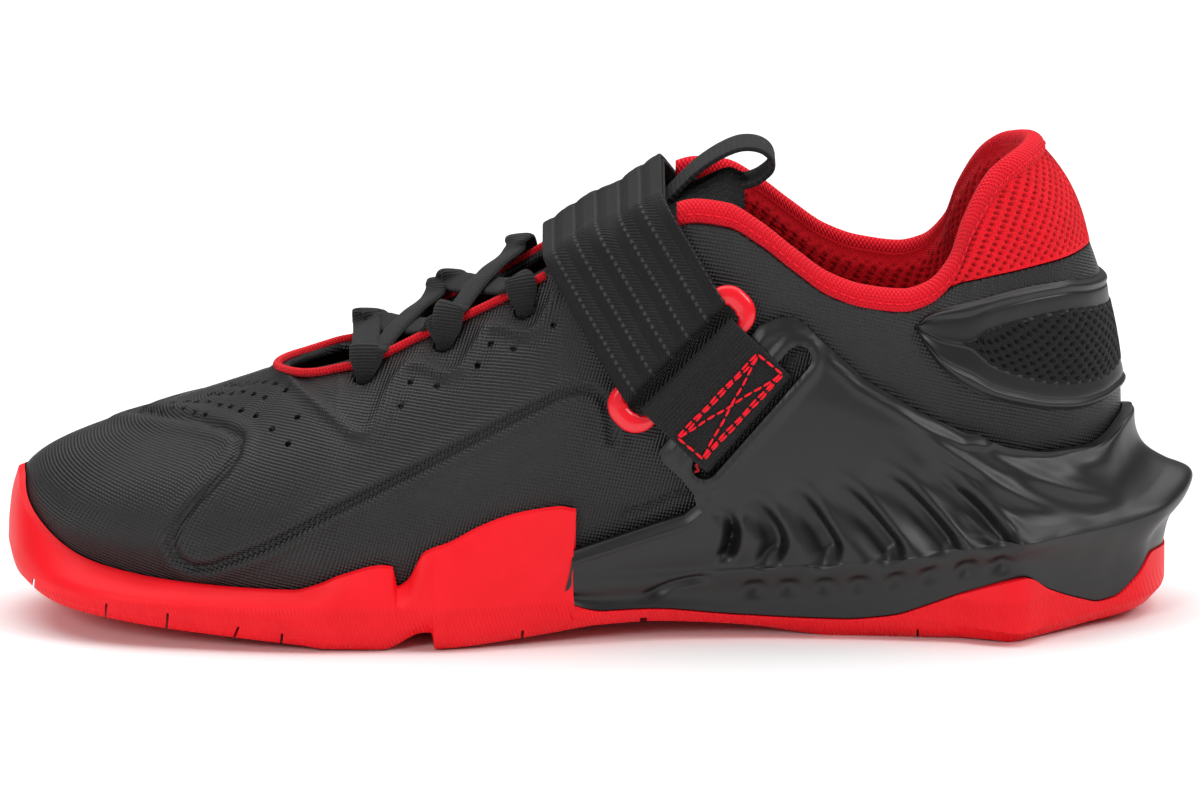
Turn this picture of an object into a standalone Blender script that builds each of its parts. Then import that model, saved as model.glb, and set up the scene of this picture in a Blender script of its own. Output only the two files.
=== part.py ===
# Weightlifting shoe for the right foot: toe at -X, heel at +X, inner side at -Y, up +Z.
# Lengths are in millimetres, and make_object turns them into metres.
#
# The shoe is described on stations that run from the toe's tip to the back of the heel.
# Between the two hinges a station is the x of a plane across the shoe. Past a hinge it is
# the hinge's x plus or minus an angle in degrees, so the planes fan round toe and heel.
# Every piece is a list of (reach, height) points on those half planes.

import math

import bpy
from mathutils import Vector

TOE_X = -67.0
TOE_Y = -2.0
HEEL_X = 78.0
TOE_TIP = TOE_X - 90.0
HEEL_BACK = HEEL_X + 90.0
INNER = -1
OUTER = 1
GAP = 0.35
WALL = 2.2


class Curve:
    """A smooth curve without overshoot through the rows of a table."""

    def __init__(self, rows, column, key=0):
        self.keys = [row[key] for row in rows]
        self.values = [row[column] for row in rows]
        steps = []
        for i in range(len(rows) - 1):
            run = self.keys[i + 1] - self.keys[i]
            steps.append((self.values[i + 1] - self.values[i]) / run)
        self.slopes = [0.0] * len(rows)
        for i in range(1, len(rows) - 1):
            before, after = steps[i - 1], steps[i]
            if before * after > 0:
                self.slopes[i] = 2 * before * after / (before + after)

    def __call__(self, key):
        keys = self.keys
        if key <= keys[0]:
            return self.values[0]
        if key >= keys[-1]:
            return self.values[-1]
        i = 0
        while keys[i + 1] < key:
            i += 1
        run = keys[i + 1] - keys[i]
        f = (key - keys[i]) / run
        a, b = self.values[i], self.values[i + 1]
        ta, tb = self.slopes[i] * run, self.slopes[i + 1] * run
        return (a * (1 + 2 * f) * (1 - f) ** 2 + ta * f * (1 - f) ** 2
                + b * f * f * (3 - 2 * f) + tb * f * f * (f - 1))


# Plan shapes, as reach from the spine or hinge.
# station, last inner, last outer, sole inner, sole outer
PLAN = [
    (-157, 84.0, 84.0, 86.0, 86.0),
    (-148, 82.0, 78.3, 85.0, 81.5),
    (-139, 77.0, 71.5, 81.9, 76.3),
    (-130, 69.5, 65.8, 76.6, 70.9),
    (-119, 60.5, 58.6, 67.4, 64.1),
    (-103, 51.4, 51.3, 56.2, 55.8),
    (-82, 45.8, 47.2, 49.7, 51.2),
    (-67, 44.8, 47.8, 48.1, 50.9),
    (-40, 44.4, 49.1, 47.6, 52.5),
    (-20, 42.2, 47.9, 43.9, 51.3),
    (0, 38.9, 44.6, 39.6, 48.1),
    (20, 36.2, 40.8, 36.2, 44.3),
    (40, 34.5, 37.5, 35.0, 41.5),
    (60, 33.8, 35.3, 36.0, 40.3),
    (78, 33.5, 34.1, 37.8, 40.0),
    (98, 35.0, 35.0, 41.4, 42.0),
    (116, 38.8, 38.8, 50.6, 50.6),
    (124, 41.5, 41.5, 51.3, 51.3),
    (134, 45.6, 45.6, 53.8, 53.8),
    (144, 50.6, 50.6, 58.4, 58.4),
    (154, 54.0, 54.0, 65.5, 65.5),
    (168, 56.5, 56.5, 69.0, 69.0),
]
LAST = {INNER: Curve(PLAN, 1), OUTER: Curve(PLAN, 2)}
SOLE = {INNER: Curve(PLAN, 3), OUTER: Curve(PLAN, 4)}

# How the wall rises from the feather edge to the rim.
# station, inset of feather, height of feather, bulge, its height, share of reach kept above, drop below rim
FORM = [
    (-157, 5.0, 19.0, 8.0, 44.0, 0.90, 20.5),
    (-134, 4.5, 16.0, 7.0, 39.0, 0.88, 20.0),
    (-112, 4.0, 13.5, 5.5, 34.0, 0.85, 17.5),
    (-90, 3.5, 12.5, 5.0, 33.0, 0.80, 11.5),
    (-67, 3.5, 12.5, 5.0, 34.0, 0.75, 6.0),
    (-40, 3.0, 14.0, 5.5, 37.0, 0.68, 5.5),
    (-17, 3.0, 17.0, 4.5, 42.0, 0.74, 9.0),
    (0, 3.0, 18.5, 3.5, 46.0, 0.85, 13.0),
    (15, 3.0, 20.0, 3.0, 50.0, 0.93, 19.0),
    (30, 3.0, 22.0, 3.5, 53.0, 0.98, 22.0),
    (50, 3.0, 24.0, 3.5, 50.0, 1.04, 22.0),
    (78, 3.5, 26.0, 4.5, 48.0, 1.07, 21.0),
    (104, 3.5, 26.5, 4.5, 50.0, 1.05, 22.0),
    (123, 3.5, 27.0, 5.0, 54.0, 1.00, 26.0),
    (168, 4.5, 27.0, 8.5, 56.0, 0.915, 26.0),
]
INSET = Curve(FORM, 1)
FEATHER = Curve(FORM, 2)
BULGE = Curve(FORM, 3)
BULGE_Z = Curve(FORM, 4)
KEEP = Curve(FORM, 5)
DROP = Curve(FORM, 6)

# The rim of throat and collar.
# station, reach, height, height of the black upper's edge
RIM = [
    (-157, 13.0, 65.0, 65.0),
    (-112, 13.0, 65.3, 65.3),
    (-67, 14.0, 67.0, 67.0),
    (-42.5, 14.5, 77.0, 77.0),
    (-24, 15.0, 86.0, 86.0),
    (-17, 15.5, 90.0, 90.0),
    (0, 19.0, 101.0, 100.0),
    (15, 23.5, 111.0, 104.8),
    (25, 25.0, 114.3, 108.0),
    (33, 26.0, 113.4, 107.0),
    (41, 27.0, 109.0, 102.6),
    (50, 28.0, 102.0, 95.8),
    (59, 28.5, 95.6, 89.6),
    (68, 28.5, 92.4, 86.5),
    (78, 28.0, 91.2, 85.3),
    (90.5, 27.7, 92.8, 87.2),
    (104.6, 28.0, 99.5, 92.0),
    (112.8, 28.0, 108.6, 93.2),
    (128.7, 28.4, 119.0, 94.7),
    (143, 30.9, 123.6, 96.0),
    (168, 33.5, 126.0, 97.0),
]
RIM_R = Curve(RIM, 1)
RIM_Z = Curve(RIM, 2)
BLACK_Z = Curve(RIM, 3)

# The sole's underside along the shoe, in the middle and at its edge.
# x, height in the middle, height at the edge
GROUND = [
    (-153, 15.6, 15.8),
    (-147, 10.2, 10.5),
    (-139, 8.0, 8.3),
    (-129, 6.6, 7.2),
    (-103, 3.4, 4.4),
    (-77, 0.6, 1.9),
    (-70, 0.0, 0.8),
    (-55.5, 0.0, 0.5),
    (-44.5, 4.4, 4.9),
    (-42.6, 4.4, 4.9),
    (-42.2, 0.0, 0.6),
    (-35, 0.0, 0.9),
    (-20, 2.0, 2.3),
    (-10, 3.2, 3.5),
    (0, 4.0, 4.6),
    (11, 4.2, 4.9),
    (26, 3.6, 4.3),
    (42, 2.2, 3.3),
    (52, 0.8, 2.6),
    (60, 0.0, 2.3),
    (80, 0.0, 1.9),
    (98, 0.0, 1.1),
    (106, 0.0, 0.3),
    (120, 0.0, 1.2),
    (134, 0.0, 2.7),
    (142, 2.4, 3.3),
    (147, 7.0, 8.0),
]
GROUND_MID = Curve(GROUND, 1)
GROUND_EDGE = Curve(GROUND, 2)

# The top edge of the red rubber.
# station, height
RED = [
    (-157, 38.0),
    (-153, 37.3),
    (-148, 32.9),
    (-144, 28.8),
    (-139, 24.0),
    (-134, 20.6),
    (-130, 19.2),
    (-119, 17.2),
    (-103, 16.2),
    (-82, 15.8),
    (-73, 17.6),
    (-65, 20.3),
    (-55.5, 22.6),
    (-52.5, 22.2),
    (-51.5, 17.0),
    (-49, 18.4),
    (-44.5, 26.0),
    (-38, 28.6),
    (-31, 32.2),
    (-24, 34.8),
    (-17, 36.3),
    (-10.5, 37.0),
    (-6.8, 36.2),
]
RED_FRONT = Curve(RED, 1)
RED_REAR = [
    (-6.5, 9.0),
    (11, 8.8),
    (36, 6.6),
    (52, 5.8),
    (63, 5.6),
    (73, 6.5),
    (84, 9.0),
    (100, 13.3),
    (116, 17.6),
    (125, 13.4),
    (136, 9.2),
    (142, 7.5),
    (146, 7.9),
    (151, 12.0),
    (157, 17.6),
    (168, 17.0),
]
RED_BACK = Curve(RED_REAR, 1)
WEDGE_START = -6.5
# Where the wedge lies on the red rubber.
# station, height
BED = [
    (-6.5, 7.2),
    (26, 6.4),
    (42, 5.0),
    (60, 4.9),
    (168, 4.9),
]
FLOOR = Curve(BED, 1)


def spine(x):
    """The y of the shoe's middle line between the hinges."""
    return TOE_Y * (HEEL_X - x) / (HEEL_X - TOE_X)


def place(station, side, reach, height):
    """A point on a station's half plane."""
    if station < TOE_X:
        angle = math.radians(TOE_X - station)
        return (TOE_X - reach * math.sin(angle), TOE_Y + side * reach * math.cos(angle), height)
    if station > HEEL_X:
        angle = math.radians(station - HEEL_X)
        return (HEEL_X + reach * math.sin(angle), side * reach * math.cos(angle), height)
    return (station, spine(station) + side * reach, height)


def wall_handles(station, side):
    reach = LAST[side](station)
    rim_r, rim_z = RIM_R(station), RIM_Z(station)
    foot = (reach - INSET(station), FEATHER(station))
    low = (reach + BULGE(station), BULGE_Z(station))
    high = (reach * KEEP(station), rim_z - DROP(station))
    return foot, low, high, (rim_r, rim_z)


def wall(station, side, t, out=0.0):
    """Reach and height on the outside of the shoe's wall, moved outward by out."""
    p = wall_handles(station, side)
    s = 1 - t
    weights = (s * s * s, 3 * s * s * t, 3 * s * t * t, t * t * t)
    r = sum(w * q[0] for w, q in zip(weights, p))
    z = sum(w * q[1] for w, q in zip(weights, p))
    if out == 0.0:
        return r, z
    steps = (s * s, 2 * s * t, t * t)
    dr = sum(w * (p[i + 1][0] - p[i][0]) for i, w in enumerate(steps))
    dz = sum(w * (p[i + 1][1] - p[i][1]) for i, w in enumerate(steps))
    size = math.hypot(dr, dz)
    return r + out * dz / size, z - out * dr / size


def wall_at(station, side, height):
    """Where the wall is at a height, as t."""
    low, high = 0.0, 1.0
    for _ in range(30):
        t = (low + high) / 2
        if wall(station, side, t)[1] < height:
            low = t
        else:
            high = t
    return (low + high) / 2


def wall_reach(station, side, height):
    return wall(station, side, wall_at(station, side, height))[0]


def mix(a, b, f):
    return a + (b - a) * f


def loop_of(stations):
    """Both sides of the shoe: down the inner side and back along the outer one."""
    back = [(s, OUTER) for s in reversed(stations[1:-1])]
    return [(s, INNER) for s in stations] + back


def open_loop_of(stations):
    """From the inner side round the heel to the outer side."""
    back = [(s, OUTER) for s in reversed(stations[:-1])]
    return [(s, INNER) for s in stations] + back


class Mesher:
    """Collects faces, and joins corners that lie at the same place."""

    def __init__(self):
        self.points = []
        self.index = {}
        self.faces = []

    def corner(self, point):
        key = tuple(round(c * 2000) for c in point)
        if key not in self.index:
            self.index[key] = len(self.points)
            self.points.append(tuple(point))
        return self.index[key]

    def face(self, *points):
        ids = []
        for point in points:
            i = self.corner(point)
            if i not in ids:
                ids.append(i)
        if len(ids) == 4:
            self.faces.append((ids[0], ids[1], ids[2]))
            self.faces.append((ids[0], ids[2], ids[3]))
        elif len(ids) >= 3:
            self.faces.append(tuple(ids))

    def loft(self, rows, closed_rows, closed_sections):
        """Joins sections of equally many points with four-cornered faces."""
        count = len(rows)
        width = len(rows[0])
        for i in range(count if closed_rows else count - 1):
            a, b = rows[i], rows[(i + 1) % count]
            for j in range(width if closed_sections else width - 1):
                k = (j + 1) % width
                self.face(a[j], b[j], b[k], a[k])

    def cap(self, points):
        self.face_many(points)

    def face_many(self, points):
        ids = []
        for point in points:
            i = self.corner(point)
            if i not in ids:
                ids.append(i)
        self.faces.append(tuple(ids))


def signed_volume(mesh):
    total = 0.0
    for face in mesh.polygons:
        a = mesh.vertices[face.vertices[0]].co
        for i in range(1, len(face.vertices) - 1):
            b = mesh.vertices[face.vertices[i]].co
            c = mesh.vertices[face.vertices[i + 1]].co
            total += a.dot(b.cross(c))
    return total / 6


def material(name, colour, metallic=0.0, roughness=0.6):
    made = bpy.data.materials.new(name)
    made.use_nodes = True
    shader = made.node_tree.nodes["Principled BSDF"]
    shader.inputs["Base Color"].default_value = (*colour, 1.0)
    shader.inputs["Metallic"].default_value = metallic
    shader.inputs["Roughness"].default_value = roughness
    made.diffuse_color = (*colour, 1.0)
    return made


BLACK_CLOTH = (0.030, 0.029, 0.030)
BLACK_RUBBER = (0.040, 0.039, 0.038)
RED_RUBBER = (0.92, 0.023, 0.041)
RED_CLOTH = (0.82, 0.011, 0.022)


def make_object(name, mesher, colour, roughness=0.6):
    """A Blender object from collected faces, in metres, facing outward."""
    mesh = bpy.data.meshes.new(name)
    points = [[c / 1000 for c in p] for p in mesher.points]
    mesh.from_pydata(points, [], mesher.faces)
    if signed_volume(mesh) < 0:
        mesh.flip_normals()
    mesh.update()
    made = bpy.data.objects.new(name, mesh)
    bpy.context.scene.collection.objects.link(made)
    mesh.materials.append(material(name, colour, 0.0, roughness))
    return made


for old in list(bpy.data.objects):
    bpy.data.objects.remove(old)

STATIONS = [-157, -148, -139, -130, -121, -112, -103, -92, -80, -67, -55.5, -44.5, -31, -17, -6.5,
            6, 15, 20, 25, 30, 38, 46, 54, 62, 70, 78, 86, 94, 102, 110, 116, 124, 133, 142, 151, 160, 168]
RISE = [0.0, 0.07, 0.15, 0.24, 0.33, 0.43, 0.54, 0.66, 0.78, 0.89, 1.0]


def upper_edge(station, side):
    """t where the black upper ends, below the red collar."""
    if BLACK_Z(station) >= RIM_Z(station) - 0.01:
        return 1.0
    return wall_at(station, side, BLACK_Z(station))


def upper_section(station, side):
    end = upper_edge(station, side)
    outer = [wall(station, side, t * end) for t in RISE]
    inner = [wall(station, side, t * end, -WALL) for t in RISE[::2]]
    return outer + inner[::-1]


def build_upper():
    m = Mesher()
    rows = []
    for station, side in loop_of(STATIONS):
        rows.append([place(station, side, r, z) for r, z in upper_section(station, side)])
    m.loft(rows, True, True)
    return make_object("upper", m, BLACK_CLOTH)


def platform(station, fraction):
    """Height of the sole's inner floor, from the spine (0) to the feather edge (1)."""
    middle = min(max(station, TOE_X), HEEL_X)
    return mix(FEATHER(middle), FEATHER(station), fraction) - GAP


def red_height(station):
    if station < WEDGE_START:
        return RED_FRONT(station)
    return RED_BACK(station)


def under(station, side, reach, edge):
    """Height of the sole's underside at a reach."""
    x = place(station, side, reach, 0)[0]
    return mix(GROUND_MID(x), GROUND_EDGE(x), edge)


def inner_wall(station, side, top, out):
    """Down the outside of the upper from a height to its feather edge, moved outward."""
    end = upper_edge(station, side)
    limit = wall_at(station, side, top)
    return [wall(station, side, min(t * end, limit), out) for t in reversed(RISE)]


def sole_foot(station, side):
    """The underside from the spine to the bottom edge, then the side up to its widest line."""
    reach = SOLE[side](station)
    bevel = 3.0
    points = [(0.0, under(station, side, 0.0, 0.0))]
    for share in (0.45, 0.85):
        points.append((reach * share, under(station, side, reach * share, 0.0)))
    low = under(station, side, reach - bevel, 1.0)
    points.append((reach - bevel, low))
    points.append((reach - 0.7, low + 2.6))
    return points, reach, low


def front_outsole(station, side):
    foot, reach, low = sole_foot(station, side)
    top = RED_FRONT(station)
    tip = wall_reach(station, side, top) + GAP + 1.6
    start = min(low + 6.0, top - 1.0)
    points = list(foot)
    for f in (0.0, 0.35, 0.7, 1.0):
        z = mix(start, top - 0.5, f)
        r = mix(reach, tip, f * f)
        if z > FEATHER(station):
            r = max(r, wall_reach(station, side, z) + GAP + 1.3)
        points.append((r, z))
    points += inner_wall(station, side, top, GAP)
    points.append((0.0, platform(station, 0.0)))
    return points


def back_outsole(station, side):
    foot, reach, low = sole_foot(station, side)
    top = RED_BACK(station)
    points = list(foot)
    for f in (0.0, 0.35, 0.7, 1.0):
        z = mix(min(low + 3.4, top - 0.3), top, f)
        points.append((reach, z))
    bed = FLOOR(station)
    inner = [(reach - 2.6, top), (reach - 3.4, bed)]
    inner += [(reach - 3.4, bed)] * (len(RISE) - 2)
    points += inner
    points.append((0.0, FLOOR(min(station, HEEL_X))))
    return points


def build_outsole():
    m = Mesher()
    extra = [-52.5, -51.5, -49, -42.6, -42.2, -38, -6.8]
    stations = sorted(STATIONS + extra)
    rows = []
    for station, side in loop_of(stations):
        make = front_outsole if station < WEDGE_START else back_outsole
        rows.append([place(station, side, r, z) for r, z in make(station, side)])
    m.loft(rows, True, False)
    made = make_object("outsole", m, RED_RUBBER, 0.55)
    for k, (x, lean, wide, deep) in enumerate(FLEX):
        low = GROUND_EDGE(x)
        top = low + deep
        outline = [(x - wide, low - 8), (x + wide, low - 8), (x + wide + lean, top), (x - wide + lean, top)]
        cut_away(made, prism("flex_cutter_" + str(k), outline, (-80.0, 80.0)))
    return made


# Narrow grooves across the sole.
# x, lean toward the heel, half width, depth
FLEX = [
    (-146.6, 0.6, 0.7, 2.0),
    (-127.0, 0.6, 0.9, 2.4),
    (-111.5, 0.6, 0.9, 2.4),
    (-96.0, 1.4, 0.9, 2.4),
    (-82.0, 0.8, 0.9, 2.4),
    (-20.0, 0.0, 0.9, 2.4),
    (11.0, 0.6, 0.9, 1.2),
    (82.0, 0.0, 0.9, 1.2),
]


def build_insole():
    m = Mesher()
    rows = []
    thick = 4.0
    for station, side in loop_of(STATIONS):
        foot_r, foot_z = wall(station, side, 0.0)
        low = platform(station, 1.0) + GAP
        edge_low = wall(station, side, 0.0, -WALL - 0.7)
        hi = wall_at(station, side, low + thick)
        edge_high = wall(station, side, hi, -WALL - 0.9)
        share = edge_low[0] / foot_r
        base = platform(station, 0.0) + GAP
        bottom = mix(base, low, share)
        section = [(0.0, base), (edge_low[0], bottom), (edge_high[0], bottom + thick + 1.0)]
        section += [(edge_high[0] * 0.8, mix(base, low, share * 0.8) + thick), (0.0, base + thick)]
        rows.append([place(station, side, r, z) for r, z in section])
    m.loft(rows, True, False)
    return make_object("insole", m, RED_CLOTH)


# The black wedge: its ridge line and the hollow above it.
# station, ridge beyond the sole's edge, ridge height, half its thickness, hollow's clearance, hollow's height
WEDGE = [
    (-6.5, 0.2, 17.0, 2.0, 3.0, 23.5),
    (20, 0.6, 18.0, 1.6, 4.0, 29.0),
    (37, 1.4, 19.3, 1.0, 4.6, 34.0),
    (63, 2.2, 20.6, 0.9, 5.2, 38.0),
    (86, 2.8, 23.6, 0.9, 6.0, 40.0),
    (116, 3.4, 27.4, 0.9, 7.6, 41.0),
    (134, 3.6, 27.6, 1.2, 7.6, 42.0),
    (144, 4.2, 28.0, 1.4, 6.8, 44.0),
    (151, 4.6, 29.4, 1.7, 5.0, 46.5),
    (158, 5.4, 31.6, 2.0, 4.0, 48.5),
    (168, 6.2, 34.4, 2.2, 3.6, 49.5),
]
RIDGE_OUT = Curve(WEDGE, 1)
RIDGE_Z = Curve(WEDGE, 2)
RIDGE_HALF = Curve(WEDGE, 3)
HOLLOW_OUT = Curve(WEDGE, 4)
HOLLOW_Z = Curve(WEDGE, 5)

# The wedge's rim before its side outline is cut. The outline cut leaves the fin.
# station, height
WEDGE_RIM = [
    (-6.5, 34.0),
    (12, 60.0),
    (36, 88.0),
    (54, 88.0),
    (70, 76.0),
    (86, 66.0),
    (94, 61.5),
    (102, 57.0),
    (110, 52.8),
    (120, 49.8),
    (132, 48.2),
    (145, 48.2),
    (151, 49.4),
    (160, 52.4),
    (168, 53.7),
]
# The line between the wedge and the cloth, in side view.
# x, height
WEDGE_LINE = [
    (-9, 24.4),
    (6, 29),
    (22, 34),
    (25, 36.5),
    (24.4, 39.5),
    (21, 44),
    (16.4, 48),
    (15.5, 51),
    (18, 54),
    (41, 83),
    (46, 85),
    (50, 85),
    (53, 83),
    (57, 79),
    (68, 69),
    (82, 60.6),
    (94, 54.6),
    (99, 54.0),
    (99, 120),
    (-9, 120),
]
WEDGE_TOP = Curve(WEDGE_RIM, 1)
SKIN = 2.6


def wedge_section(station, side):
    sole = SOLE[side](station)
    red = RED_BACK(station)
    top = min(WEDGE_TOP(station), BLACK_Z(station) - 4)
    bed = FLOOR(station) + GAP
    points = [(0.0, bed), (sole - 3.4 - GAP, bed), (sole - 2.7 - GAP, red + GAP)]
    low = (sole - 0.5, red + GAP)
    ridge_r = sole + RIDGE_OUT(station)
    ridge_z = RIDGE_Z(station)
    half = RIDGE_HALF(station)
    hollow_z = HOLLOW_Z(station)
    hollow = (wall_reach(station, side, hollow_z) + HOLLOW_OUT(station), hollow_z)
    points.append(low)
    points.append((mix(low[0], ridge_r, 0.4) - 0.8, mix(low[1], ridge_z - half, 0.5)))
    points.append((ridge_r, ridge_z - half))
    points.append((ridge_r, ridge_z + half))
    for f in (0.33, 0.66):
        sag = 1.0 - f
        r = mix(hollow[0], ridge_r, sag * sag * 0.9)
        z = mix(ridge_z + half, hollow_z, f * 0.85)
        points.append((r, z))
    points.append(hollow)
    limit = wall_at(station, side, top)
    start = wall_at(station, side, hollow_z + 3.0)
    for f in (0.0, 0.33, 0.67, 1.0):
        t = mix(start, limit, f)
        extra = mix(mix(0.6, HOLLOW_OUT(station) - SKIN, 0.4), 0.0, min(1.0, f * 1.5))
        points.append(wall(station, side, t, GAP + SKIN + extra))
    points += inner_wall(station, side, wall(station, side, limit)[1], GAP)
    points.append((0.0, platform(station, 0.0)))
    return points


def build_midsole():
    m = Mesher()
    stations = [s for s in STATIONS if s >= WEDGE_START]
    rows = []
    for station, side in open_loop_of(stations):
        rows.append([place(station, side, r, z) for r, z in wedge_section(station, side)])
    m.loft(rows, False, False)
    m.cap(rows[0] + rows[-1][::-1])
    made = make_object("midsole", m, BLACK_RUBBER, 0.4)
    both = (-80.0, 80.0)
    near = (-80.0, -8.0)
    cut_away(made, prism("wedge_outline_cutter", WEDGE_LINE, both))
    cut_away(made, prism("slot_cutter", slot_outline(), near))
    for side in (INNER, OUTER):
        for k, (top_x, top_z, low_x, low_z) in enumerate(VALLEYS):
            name = "valley_cutter_" + str(k) + ("_inner" if side == INNER else "_outer")
            top = (top_x, side_y(top_x, side, top_z), top_z)
            low = (low_x, side_y(low_x, side, low_z), low_z)
            cut_away(made, spindle(name, top, low))
    return made


# The hollows between the wedge's slanted ribs, in side view.
# x and height of the upper end, x and height of the lower end
VALLEYS = [
    (32.6, 35.0, 35.4, 18.6),
    (41.0, 39.0, 48.4, 20.0),
    (53.4, 40.5, 62.9, 21.0),
    (66.6, 42.5, 79.2, 21.8),
    (80.0, 43.5, 95.5, 23.6),
    (92.2, 43.0, 109.5, 26.0),
]
VALLEY_HALF = 2.9
VALLEY_DEPTH = 2.9


def side_y(x, side, height):
    """The y of the wedge's outer side at a place in side view."""
    station = x
    for _ in range(12):
        section = wedge_section(station, side)[3:14]
        reach = section[0][0]
        for a, b in zip(section, section[1:]):
            if a[1] <= height <= b[1] and b[1] > a[1]:
                reach = mix(a[0], b[0], (height - a[1]) / (b[1] - a[1]))
        if x <= HEEL_X:
            break
        station = HEEL_X + math.degrees(math.asin(min(1.0, (x - HEEL_X) / reach)))
    return place(station, side, reach, height)[1]


def spindle(name, top, low):
    """A hidden pointed cutter along a rib's hollow."""
    m = Mesher()
    span = [low[k] - top[k] for k in range(3)]
    size = math.hypot(span[0], span[2])
    side_x, side_z = -span[2] / size, span[0] / size
    rows = []
    for f, full in ((0.0, 0.0), (0.3, 0.85), (0.7, 1.0), (1.0, 0.0)):
        middle = [top[k] + span[k] * f for k in range(3)]
        ring = []
        for k in range(6):
            angle = math.radians(60 * k)
            across = VALLEY_HALF * full * math.cos(angle)
            deep = VALLEY_DEPTH * full * math.sin(angle)
            ring.append((middle[0] + side_x * across, middle[1] + deep, middle[2] + side_z * across))
        rows.append(ring)
    m.loft(rows, False, True)
    made = make_object(name, m, BLACK_RUBBER)
    made.hide_render = True
    made.display_type = "WIRE"
    return made


SLOT_LOW = (27.2, 47.0)
SLOT_HIGH = (51.0, 74.7)
SLOT_HALF = 3.4


def slot_outline():
    """The slot in the fin: a long hole with round ends, in side view."""
    run = (SLOT_HIGH[0] - SLOT_LOW[0], SLOT_HIGH[1] - SLOT_LOW[1])
    lean = math.atan2(run[1], run[0])
    points = []
    for centre, first in ((SLOT_HIGH, -90), (SLOT_LOW, 90)):
        for k in range(5):
            angle = lean + math.radians(first + 45 * k)
            points.append((centre[0] + SLOT_HALF * math.cos(angle), centre[1] + SLOT_HALF * math.sin(angle)))
    return points


def prism(name, outline, span):
    """A hidden cutter with this outline in side view."""
    m = Mesher()
    near = [(x, span[0], z) for x, z in outline]
    far = [(x, span[1], z) for x, z in outline]
    m.cap(near)
    m.cap(far[::-1])
    for i in range(len(outline)):
        k = (i + 1) % len(outline)
        m.face(near[i], far[i], far[k], near[k])
    made = make_object(name, m, BLACK_RUBBER)
    made.hide_render = True
    made.display_type = "WIRE"
    return made


def cut_away(target, cutter):
    step = target.modifiers.new(cutter.name, "BOOLEAN")
    step.operation = "DIFFERENCE"
    step.solver = "EXACT"
    step.object = cutter


def join_on(target, other):
    step = target.modifiers.new(other.name, "BOOLEAN")
    step.operation = "UNION"
    step.solver = "EXACT"
    step.object = other
    other.hide_render = True
    other.display_type = "WIRE"


def tangent(station, side, t):
    """Unit step up the wall, as reach and height."""
    a = wall(station, side, t - 0.01)
    b = wall(station, side, t)
    size = math.hypot(b[0] - a[0], b[1] - a[1])
    return (b[0] - a[0]) / size, (b[1] - a[1]) / size


ROLL_HALF = 2.75
ROLL_THICK = 2.4
COLLAR = [20, 25, 30, 38, 46, 54, 62, 70, 78, 86, 94, 102, 110, 116, 124, 133, 142, 151, 160, 168]


def build_binding():
    """The roll along the collar's rim."""
    m = Mesher()
    rows = []
    for station, side in open_loop_of(COLLAR):
        up = tangent(station, side, 1.0)
        rim = wall(station, side, 1.0, -1.3)
        mid = (rim[0] - up[0] * ROLL_HALF, rim[1] - up[1] * ROLL_HALF)
        section = []
        for k in range(6):
            angle = math.radians(60 * k)
            along = ROLL_HALF * math.cos(angle)
            across = ROLL_THICK * math.sin(angle)
            r = mid[0] + along * up[0] + across * up[1]
            z = mid[1] + along * up[1] - across * up[0]
            section.append(place(station, side, r, z))
        rows.append(section)
    m.loft(rows, False, True)
    m.cap(rows[0])
    m.cap(rows[-1][::-1])
    return make_object("collar_binding", m, RED_CLOTH)


def below_roll(station, side, extra):
    """t just under the roll."""
    t = 1.0
    rim = wall(station, side, 1.0)
    while True:
        p = wall(station, side, t)
        if math.hypot(p[0] - rim[0], p[1] - rim[1]) > 2 * ROLL_HALF + extra:
            return t
        t -= 0.002


def build_heel_pad():
    """The mesh pad outside, between the black upper and the roll."""
    m = Mesher()
    rows = []
    for station, side in open_loop_of([s for s in COLLAR if s >= 102]):
        low = wall_at(station, side, BLACK_Z(station)) + 0.004
        high = max(below_roll(station, side, 0.5), low + 0.012)
        outer = []
        inner = []
        for f in (0.0, 0.25, 0.5, 0.75, 1.0):
            t = mix(low, high, f)
            full = 0.2 + 1.4 * math.sin(math.pi * f) * min(1.0, (station - 100) / 14)
            outer.append(wall(station, side, t, full))
            inner.append(wall(station, side, t, -2.4))
        section = outer + inner[::-1]
        rows.append([place(station, side, r, z) for r, z in section])
    m.loft(rows, False, True)
    m.cap(rows[0])
    m.cap(rows[-1][::-1])
    return make_object("heel_pad", m, RED_CLOTH)


def build_lining():
    m = Mesher()
    rows = []
    for station, side in open_loop_of([s for s in COLLAR if s >= 30]):
        low = wall_at(station, side, RIM_Z(station) - 34)
        high = below_roll(station, side, 0.5)
        outer = []
        inner = []
        for f, thick in ((0.0, 1.4), (0.25, 2.6), (0.5, 3.8), (0.75, 4.2), (1.0, 2.6)):
            t = mix(low, high, f)
            outer.append(wall(station, side, t, -3.1))
            inner.append(wall(station, side, t, -3.1 - thick))
        section = outer + inner[::-1]
        rows.append([place(station, side, r, z) for r, z in section])
    m.loft(rows, False, True)
    m.cap(rows[0])
    m.cap(rows[-1][::-1])
    return make_object("collar_lining", m, RED_CLOTH)


# The tongue along its middle.
# x, height, half width, drop at its edges, thickness
TONGUE = [
    (-88, 57.6, 11.0, 1.6, 2.0),
    (-80, 61.0, 14.0, 2.4, 2.6),
    (-67, 64.0, 18.0, 3.6, 3.0),
    (-40, 74.6, 19.5, 5.2, 3.4),
    (-17, 87.2, 20.5, 5.2, 3.8),
    (0, 97.2, 20.5, 4.6, 4.2),
    (15, 107.6, 18.5, 5.4, 5.2),
    (26, 113.0, 18.0, 6.4, 6.4),
    (35, 116.2, 18.0, 7.4, 6.8),
    (37.5, 115.4, 17.0, 7.2, 5.0),
]
TONGUE_STEPS = [-88, -80, -74, -67, -54, -40, -28, -17, -8, 0, 8, 15, 21, 26, 31, 35, 37.5]


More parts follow.
